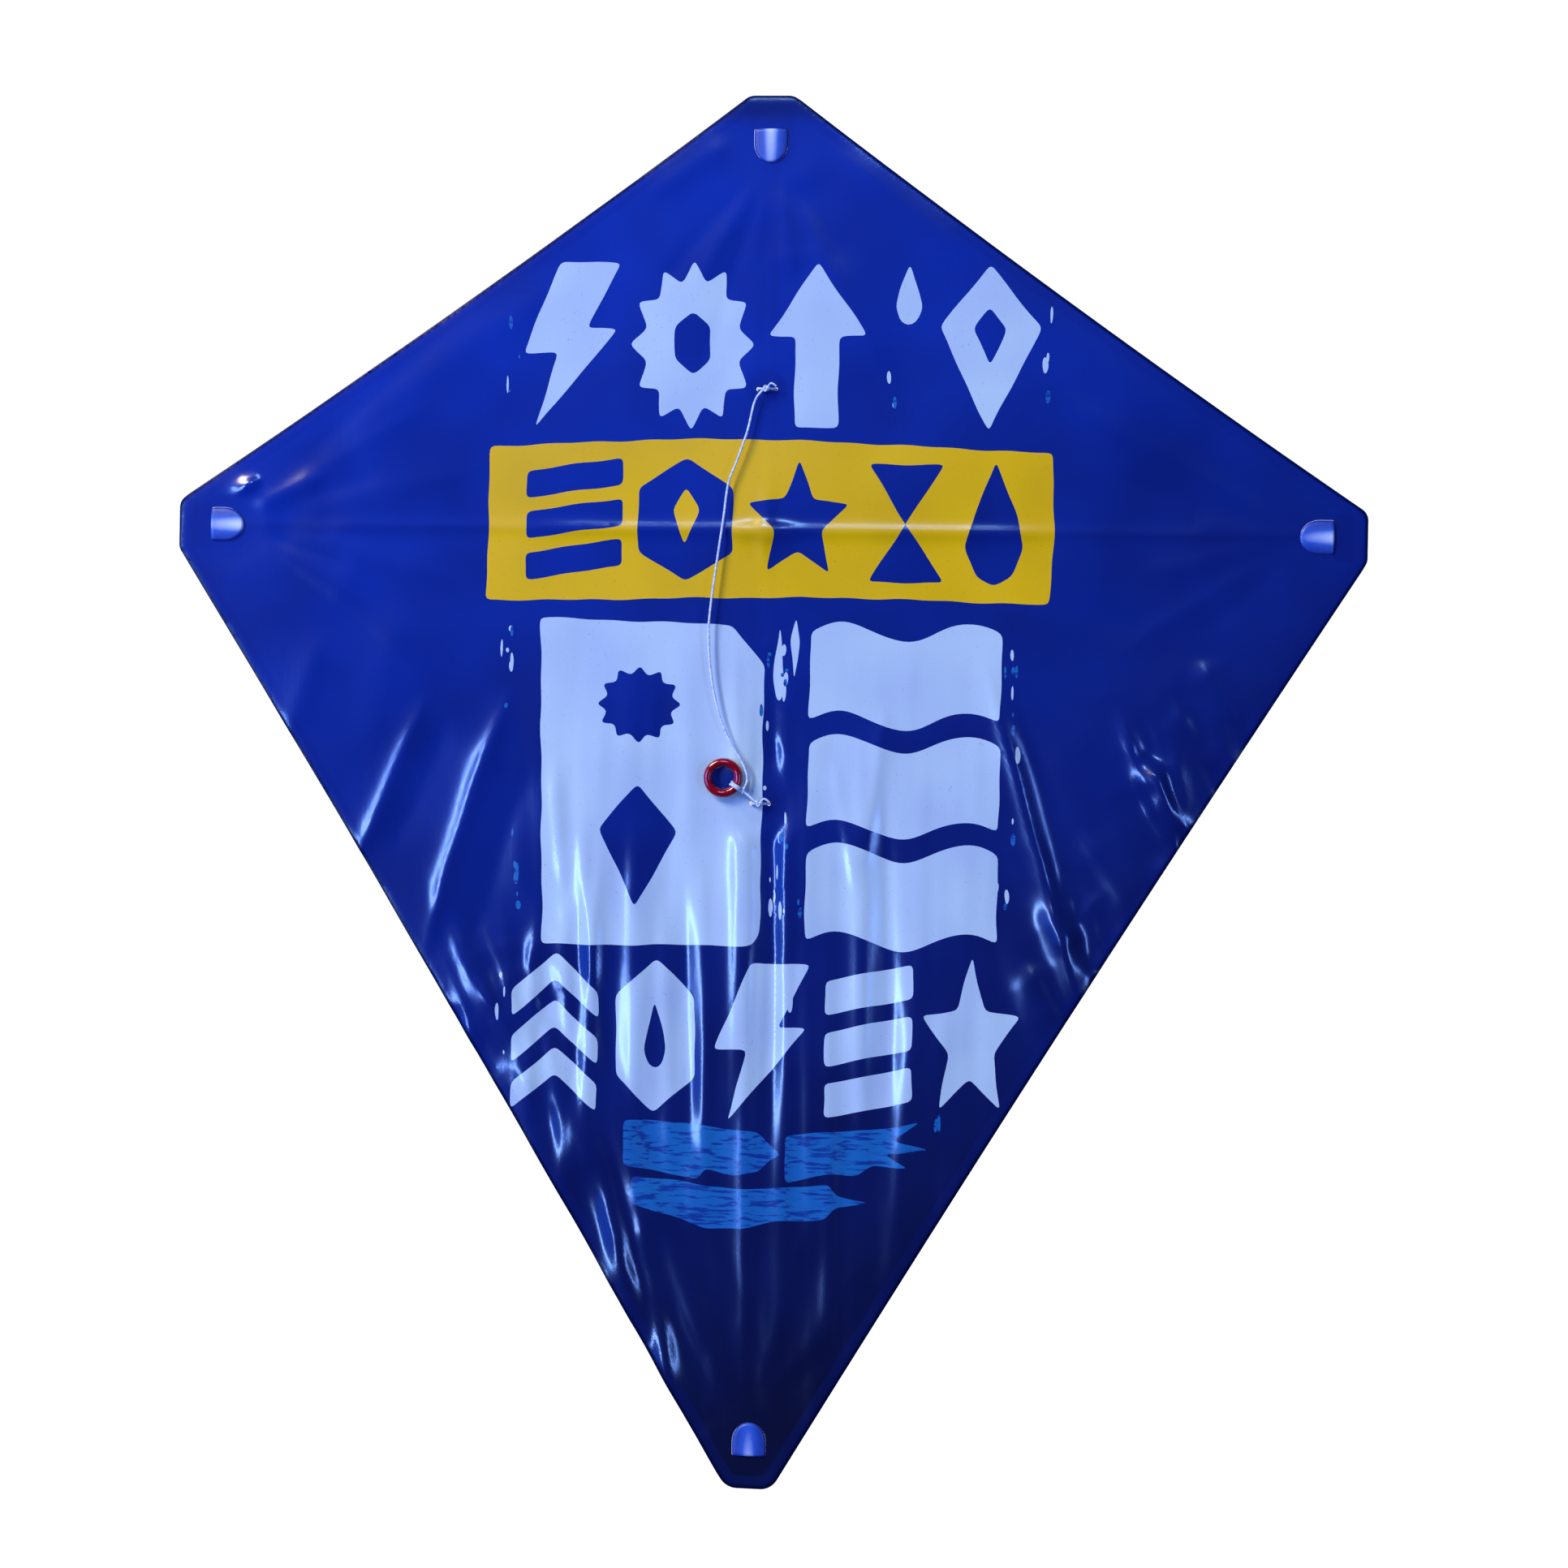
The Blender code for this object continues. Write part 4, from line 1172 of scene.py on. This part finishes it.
# %% The tie patches
for name in ("upper_tie_patch", "lower_tie_patch"):
    disc = nodes[name]
    disc.data.materials.clear()
    disc.data.materials.append(film_blue)

# %% [markdown]
# ## What the caps are made of
# A cap is moulded in milky low-density polyethylene, waxy and a little see-through. Its colour goes from
# deep blue at the sides, a painted shade, to milky white along its middle, a painted highlight, by a value
# that the mesh carries. The connector is thinner and evenly pale.

# %% Cap finish
flow_mm, waxy_skin_mm = 4.76, 0.714


def milky_finish(name, even_paleness=None):
    """Milky plastic. A value paints its highlight and shade, deep blue to milky white: the mesh gives it,
    or it is even all over.
    """
    made, tree, shader = new_finish(
        name,
        {
            "Roughness": 0.34,
            "IOR": 1.51,
            "Subsurface Weight": 0.5,
            "Subsurface Radius": (0.003, 0.004, 0.006),
            "Subsurface Scale": 1.0,
        },
    )
    place = add_node(tree, "ShaderNodeTexCoord")
    cloud = add_node(
        tree,
        "ShaderNodeTexNoise",
        {"Scale": 1000 / flow_mm, "Detail": 2.0},
        {"Vector": place.outputs["Object"]},
    )
    depth = add_node(
        tree, "ShaderNodeMath", {1: 0.14}, {0: cloud.outputs["Fac"]}, operation="MULTIPLY_ADD"
    )
    # The mesh's value is a painted highlight along a cap's middle, with painted shade of deep blue at its
    # sides.
    if even_paleness is None:
        painted_highlight = add_node(tree, "ShaderNodeAttribute", attribute_name="painted_highlight")
        tree.links.new(painted_highlight.outputs["Fac"], depth.inputs[2])
    else:
        depth.inputs[2].default_value = even_paleness
    tint = add_node(tree, "ShaderNodeValToRGB", links={"Fac": depth.outputs[0]})
    tint.color_ramp.elements[0].color = colour("#102E90")
    tint.color_ramp.elements[1].color = colour("#D8E4FF")
    tint.color_ramp.elements.new(0.4).color = colour("#3560C4")
    skin = add_node(
        tree,
        "ShaderNodeTexNoise",
        {"Scale": 1000 / waxy_skin_mm, "Detail": 2.0},
        {"Vector": place.outputs["Object"]},
    )
    bump = add_node(
        tree,
        "ShaderNodeBump",
        {"Strength": 0.12, "Distance": 0.0001},
        {"Height": skin.outputs["Fac"]},
    )
    tree.links.new(tint.outputs["Color"], shader.inputs["Base Color"])
    tree.links.new(bump.outputs["Normal"], shader.inputs["Normal"])
    return made


milky = milky_finish("milky_polyethylene")

print("cap finish:", milky.name)

# %% [markdown]
# ## Caps
# A cap is a flat bullet with a round socket for the rod. Its front bulges out through the sail's window and
# is crowned across, so that it catches one soft band of light, and a painted highlight along its middle,
# set per tip, makes that band brighter. It is lofted from inset copies of its own outline, since a plain
# bevel can't give both the crown and the round nose.

# %% Caps
ROD_HEIGHT = 6.5
CAP_HALF, CAP_HALF_THICK, CAP_OUTER, CAP_CORNER = 8.5, 2.4, 10.5, 4.0
BOSS_TOP, BOSS_CROWN, BOSS_RIM = 11.6, 0.9, 1.3
BODY_ROUND = 2.0


def inset_loop(loop, inset):
    loop = np.asarray(loop, dtype=float)
    way = np.roll(loop, -1, axis=0) - np.roll(loop, 1, axis=0)
    way /= np.linalg.norm(way, axis=1)[:, None]
    return loop + np.stack([-way[:, 1], way[:, 0]], axis=1) * inset


def open_outline(grow, outer, corner):
    """A D-shaped outline with evenly spread points on its straight sides."""
    return even_steps(window_outline(grow, outer, corner), 1.0)


def stack(rings, close_low=None, close_high=None):
    """Faces between rings of (u, v, height) points, with a point to close either end."""
    points = [p for ring in rings for p in ring]
    count = len(rings[0])
    faces = []
    for level in range(len(rings) - 1):
        for i in range(count):
            k = (i + 1) % count
            a, b = level * count, (level + 1) * count
            faces.append((a + i, a + k, b + k, b + i))
    for tip_point, base, order in (
        (close_low, 0, -1),
        (close_high, (len(rings) - 1) * count, 1),
    ):
        if tip_point is None:
            continue
        points.append(tip_point)
        for i in range(count):
            pair = (base + i, base + (i + 1) % count)[::order]
            faces.append((*pair, len(points) - 1))
    return points, faces


def cap_mesh():
    outline = open_outline(CAP_HALF - WINDOW_HALF, CAP_OUTER, CAP_CORNER)
    rings = []
    for inset, height in (
        (6.0, -CAP_HALF_THICK - 0.05), (4.0, -CAP_HALF_THICK), (2.6, -CAP_HALF_THICK + 0.05),
        *[(BODY_ROUND * (1 - math.cos(math.radians(a))), CAP_HALF_THICK * math.sin(math.radians(a)))
          for a in range(-75, 76, 15)],
        (2.6, CAP_HALF_THICK - 0.05), (4.0, CAP_HALF_THICK - 0.05), (6.0, CAP_HALF_THICK - 0.05),
    ):  # fmt: skip
        rings.append([(u, v, ROD_HEIGHT + height) for u, v in inset_loop(outline, inset)])
    middle_u = -3.0
    body = stack(
        rings,
        (middle_u, 0, ROD_HEIGHT - CAP_HALF_THICK - 0.05),
        (middle_u, 0, ROD_HEIGHT + CAP_HALF_THICK - 0.05),
    )
    outline = open_outline(-0.07, 0.0, 1.5)
    rings = [[(u, v, ROD_HEIGHT + CAP_HALF_THICK - 0.3) for u, v in outline]]
    for a in range(0, 91, 15):
        inset = BOSS_RIM * (1 - math.cos(math.radians(a)))
        drop = BOSS_RIM * (1 - math.sin(math.radians(a)))
        rings.append(
            [
                (u, v, BOSS_TOP - BOSS_CROWN * (v / CAP_HALF) ** 2 - drop)
                for u, v in inset_loop(outline, inset)
            ]
        )
    top = np.array([(u, v) for u, v, _ in rings[-1]])
    centre = np.array((-8.2, 0.0))
    for share in (0.85, 0.7, 0.55, 0.4, 0.25, 0.12):
        flat_ring = centre + (top - centre) * share
        rings.append([(u, v, BOSS_TOP - BOSS_CROWN * (v / CAP_HALF) ** 2) for u, v in flat_ring])
    boss = stack(rings, None, (float(centre[0]), 0.0, BOSS_TOP))
    collar = []
    for i in range(24):
        a = 2 * math.pi * i / 24
        collar.append((math.cos(a), math.sin(a)))
    sleeve = [
        [(u, r * c, ROD_HEIGHT + r * s) for c, s in collar]
        for u, r in (
            (-14.5, 2.5), (-17.2, 2.5), (-17.6, 2.35), (-17.7, 2.1), (-17.5, 1.85), (-16.6, 1.8),
        )
    ]  # fmt: skip
    ribs = []
    for u in (-4.0, -7.0, -10.0):
        rib = [(u, v, ROD_HEIGHT - CAP_HALF_THICK + 0.1) for v in np.linspace(-4.6, 4.6, 12)]
        ribs.append(round_bar(rib, 0.55))
    return joined(body, boss, stack(sleeve), *ribs)


def round_bar(path, radius):
    rings = []
    for k, (u, v, height) in enumerate(path):
        t = 2 * k / (len(path) - 1) - 1
        r = radius * math.sqrt(max(1 - t**6, 0.02))
        rings.append(
            [(u + r * math.cos(a), v, height + r * math.sin(a)) for a in np.linspace(0, 5.7596, 12)]
        )
    return stack(rings, path[0], path[-1])


cap_points, cap_faces = cap_mesh()
# Painted highlight: each tip's cap gets its own brightness and a lean that brightens one end, as the lamps
# would light it.
PAINTED_SHINE = {"left": (1.0, -0.7), "nose": (0.95, 0.4), "right": (0.85, 1.0), "tail": (0.62, 1.0)}
for tip in TIPS:
    points = []
    for u, v, height in cap_points:
        x, z = on_board(tip, float(u), float(v))
        points.append((x * MM, -height * MM, z * MM))
    cap = new_piece(tip + "_cap_moulding", points, cap_faces, "kite", [milky])
    painted_shine, lean = PAINTED_SHINE[tip]
    # Painted highlight: a pale band along the cap's middle, fading to painted shade at its sides.
    painted_band = [
        painted_shine * math.exp(-((v / 4.0) ** 2)) * (0.72 + 0.28 * lean * min(max(u / 8 + 1, -1), 1))
        for u, v, _ in cap_points
    ]
    painted_highlight_layer = cap.data.attributes.new("painted_highlight", "FLOAT", "POINT")
    painted_highlight_layer.data.foreach_set("value", painted_band)
    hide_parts(tip + "_cap")
print("cap faces:", len(cap_faces))

# %% [markdown]
# ## Rods and connector
# Both rods are pultruded fibreglass: glass strands drawn through resin, so the surface has fine pale
# streaks along its length. The connector is moulded in the caps' milky polyethylene. Their CAD shapes are
# right, so they stay untouched, with finishes of their own and a bevel modifier for the connector's edges.

# %% Rods and connector
strand_mm = 0.35


def rod_finish(name, stretch):
    made, tree, shader = new_finish(name, {"Roughness": 0.38, "IOR": 1.55})
    place = add_node(tree, "ShaderNodeTexCoord")
    drawn = add_node(tree, "ShaderNodeMapping", {"Scale": stretch}, {"Vector": place.outputs["Object"]})
    strands = add_node(
        tree,
        "ShaderNodeTexNoise",
        {"Scale": 1000 / strand_mm, "Detail": 2.0},
        {"Vector": drawn.outputs["Vector"]},
    )
    tint = add_node(tree, "ShaderNodeValToRGB", links={"Fac": strands.outputs["Fac"]})
    tint.color_ramp.elements[0].position, tint.color_ramp.elements[1].position = 0.35, 0.65
    tint.color_ramp.elements[0].color = colour("#A9A78F")
    tint.color_ramp.elements[1].color = colour("#E2E1D2")
    bump = add_node(
        tree,
        "ShaderNodeBump",
        {"Strength": 0.3, "Distance": 0.00006},
        {"Height": strands.outputs["Fac"]},
    )
    tree.links.new(tint.outputs["Color"], shader.inputs["Base Color"])
    tree.links.new(bump.outputs["Normal"], shader.inputs["Normal"])
    return made


for name, stretch in (("spine", (1.0, 1.0, 0.03)), ("cross_spar", (0.03, 1.0, 1.0))):
    rod = nodes[name]
    rod.data.materials.clear()
    rod.data.materials.append(rod_finish("pultruded_fibreglass_" + name, stretch))
connector = nodes["centre_connector"]
connector.data.materials.clear()
connector.data.materials.append(milky_finish("milky_polyethylene_connector", even_paleness=0.8))
soften = connector.modifiers.new("small_rounds", "BEVEL")
soften.width, soften.segments = 0.25 * MM, 2
soften.limit_method, soften.angle_limit = "ANGLE", math.radians(40)
print("rounds in mm:", round(soften.width / MM, 2))

# %% [markdown]
# ## Ties
# Each end of the bridle goes through two holes in the sail and round the spine, and closes in a knot at
# the front. The loop is a rounded rectangle, and the knot is a real overhand knot with one cut end.

# %% Ties
SPINE_HEIGHT, ROD_RADIUS, TIE_BEND = 2.9, 1.5, 2.0
TIE_FRONT = 11.8


def spine_height(up):
    end = (NOSE_UP if up > 0 else TAIL_DOWN) - WINDOW_INSET
    t = min(abs(up) / (end - WINDOW_LENGTH), 1)
    return SPINE_HEIGHT + (ROD_HEIGHT - SPINE_HEIGHT) * (3 * t**2 - 2 * t**3)


for side, up in (("upper", TIES[0]), ("lower", TIES[1])):
    back = spine_height(up) - ROD_RADIUS - 0.3 - LINE_RADIUS / MM
    loop = []
    for across, height, start in (
        (TIE_HALF, TIE_FRONT, 0),
        (-TIE_HALF, TIE_FRONT, 90),
        (-TIE_HALF, back, 180),
        (TIE_HALF, back, 270),
    ):
        middle_across = across - math.copysign(TIE_BEND, across)
        middle_height = height - TIE_BEND if height == TIE_FRONT else height + TIE_BEND
        loop += arc((middle_across, middle_height), TIE_BEND, start, start + 90, 8)
    loop = [(x * MM, -h * MM, up * MM) for x, h in even_steps(loop, 0.4)]
    knot = knot_route((0, -BRIDLE_HEIGHT, up * MM), 1.35 * MM, turn=0.6)
    tail = smooth_route(
        [
            (0.0006, -0.0136, up * MM + 0.0006),
            (0.0022, -0.0146, up * MM + 0.0024),
            (0.0036, -0.0150, up * MM + 0.0022),
            (0.0052, -0.0146, up * MM + 0.0010),
        ],
        0.3 * MM,
    )
    tie = new_piece(
        side + "_tie_line",
        *joined(
            line_tube(loop, closed=True),
            line_tube(knot, radius=0.55 * MM, closed=True),
            line_tube(tail, radius=0.5 * MM),
        ),
        "kite",
        [braid],
    )
    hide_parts(side + "_tie")
print("tie loop points:", len(loop))

# %% [markdown]
# ## Studio
# The kite hangs free in a white room. The camera sees plain white all round, but the film does not: for
# everything except the camera the room is dark, so that the flat film keeps its deep blue and its rim
# stays dark. A soft warm white light stands high on the left, cool strips on both sides draw long
# highlights down the folds, a short strip high in front finds the spar's ridge, and a blue panel is
# mirrored faintly by the upper left of the sail. Two lights behind let the film glow.

# %% World and lights
ROOM_DIM, ROOM_SEEN = 0.03, 1.05
world = bpy.data.worlds.new("studio_room")
bpy.context.scene.world = world
world.use_nodes = True
tree = world.node_tree
room = tree.nodes["Background"]
room.inputs["Color"].default_value = colour("#FFFFFF")
seen = add_node(tree, "ShaderNodeLightPath")
bright = add_node(
    tree,
    "ShaderNodeMix",
    {2: ROOM_DIM, 3: ROOM_SEEN},
    {0: seen.outputs["Is Camera Ray"]},
)
tree.links.new(bright.outputs[0], room.inputs["Strength"])

for name, spot, target, size, tone, power in (
    ("key_softbox", (-1.9, -2.2, 1.9), (0, 0, -0.1), (1.2, 1.2), "#FFF5E0", 112),
    ("left_strip", (-1.62, -1.95, -0.2), (-0.05, 0, -0.15), (0.36, 1.4), "#2C74FF", 24),
    ("left_core", (-1.60, -1.92, -0.2), (-0.05, 0, -0.15), (0.07, 1.3), "#C4EAFF", 13),
    ("left_wall", (-2.3, -1.2, -0.3), (-0.1, 0, -0.2), (1.2, 1.6), "#2462FF", 20),
    ("right_strip", (1.6, -1.7, -0.3), (0.1, 0, -0.2), (0.3, 1.2), "#3478FF", 12),
    ("right_core", (1.58, -1.68, -0.3), (0.1, 0, -0.2), (0.05, 1.1), "#C8E6FF", 4),
    ("ridge_strip", (-0.22, -2.3, 1.3), (0, 0, 0), (0.6, 0.12), "#8CBCFF", 15),
    ("blue_panel", (-0.50, -2.45, 0.4), (0, 0, 0), (0.6, 0.6), "#0A48FF", 0.8),
    ("back_left", (-1.3, 1.9, 0.9), (0, 0, -0.1), (0.9, 0.9), "#FFFFFF", 30),
    ("back_right", (1.4, 1.7, -0.3), (0, 0, -0.1), (0.9, 0.9), "#FFFFFF", 20),
):
    light = bpy.data.lights.new(name, "AREA")
    light.shape, light.energy = "RECTANGLE", power
    light.size, light.size_y = size
    light.color = colour(tone)[:3]
    lamp = bpy.data.objects.new(name, light)
    bpy.context.scene.collection.objects.link(lamp)
    lamp.location = spot
    lamp.rotation_euler = (Vector(target) - Vector(spot)).to_track_quat("-Z", "Y").to_euler()
bpy.context.scene.view_settings.view_transform = "Standard"

low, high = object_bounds()
print("visual box in mm:", [round((b - a) * 1000, 1) for a, b in zip(low, high)])
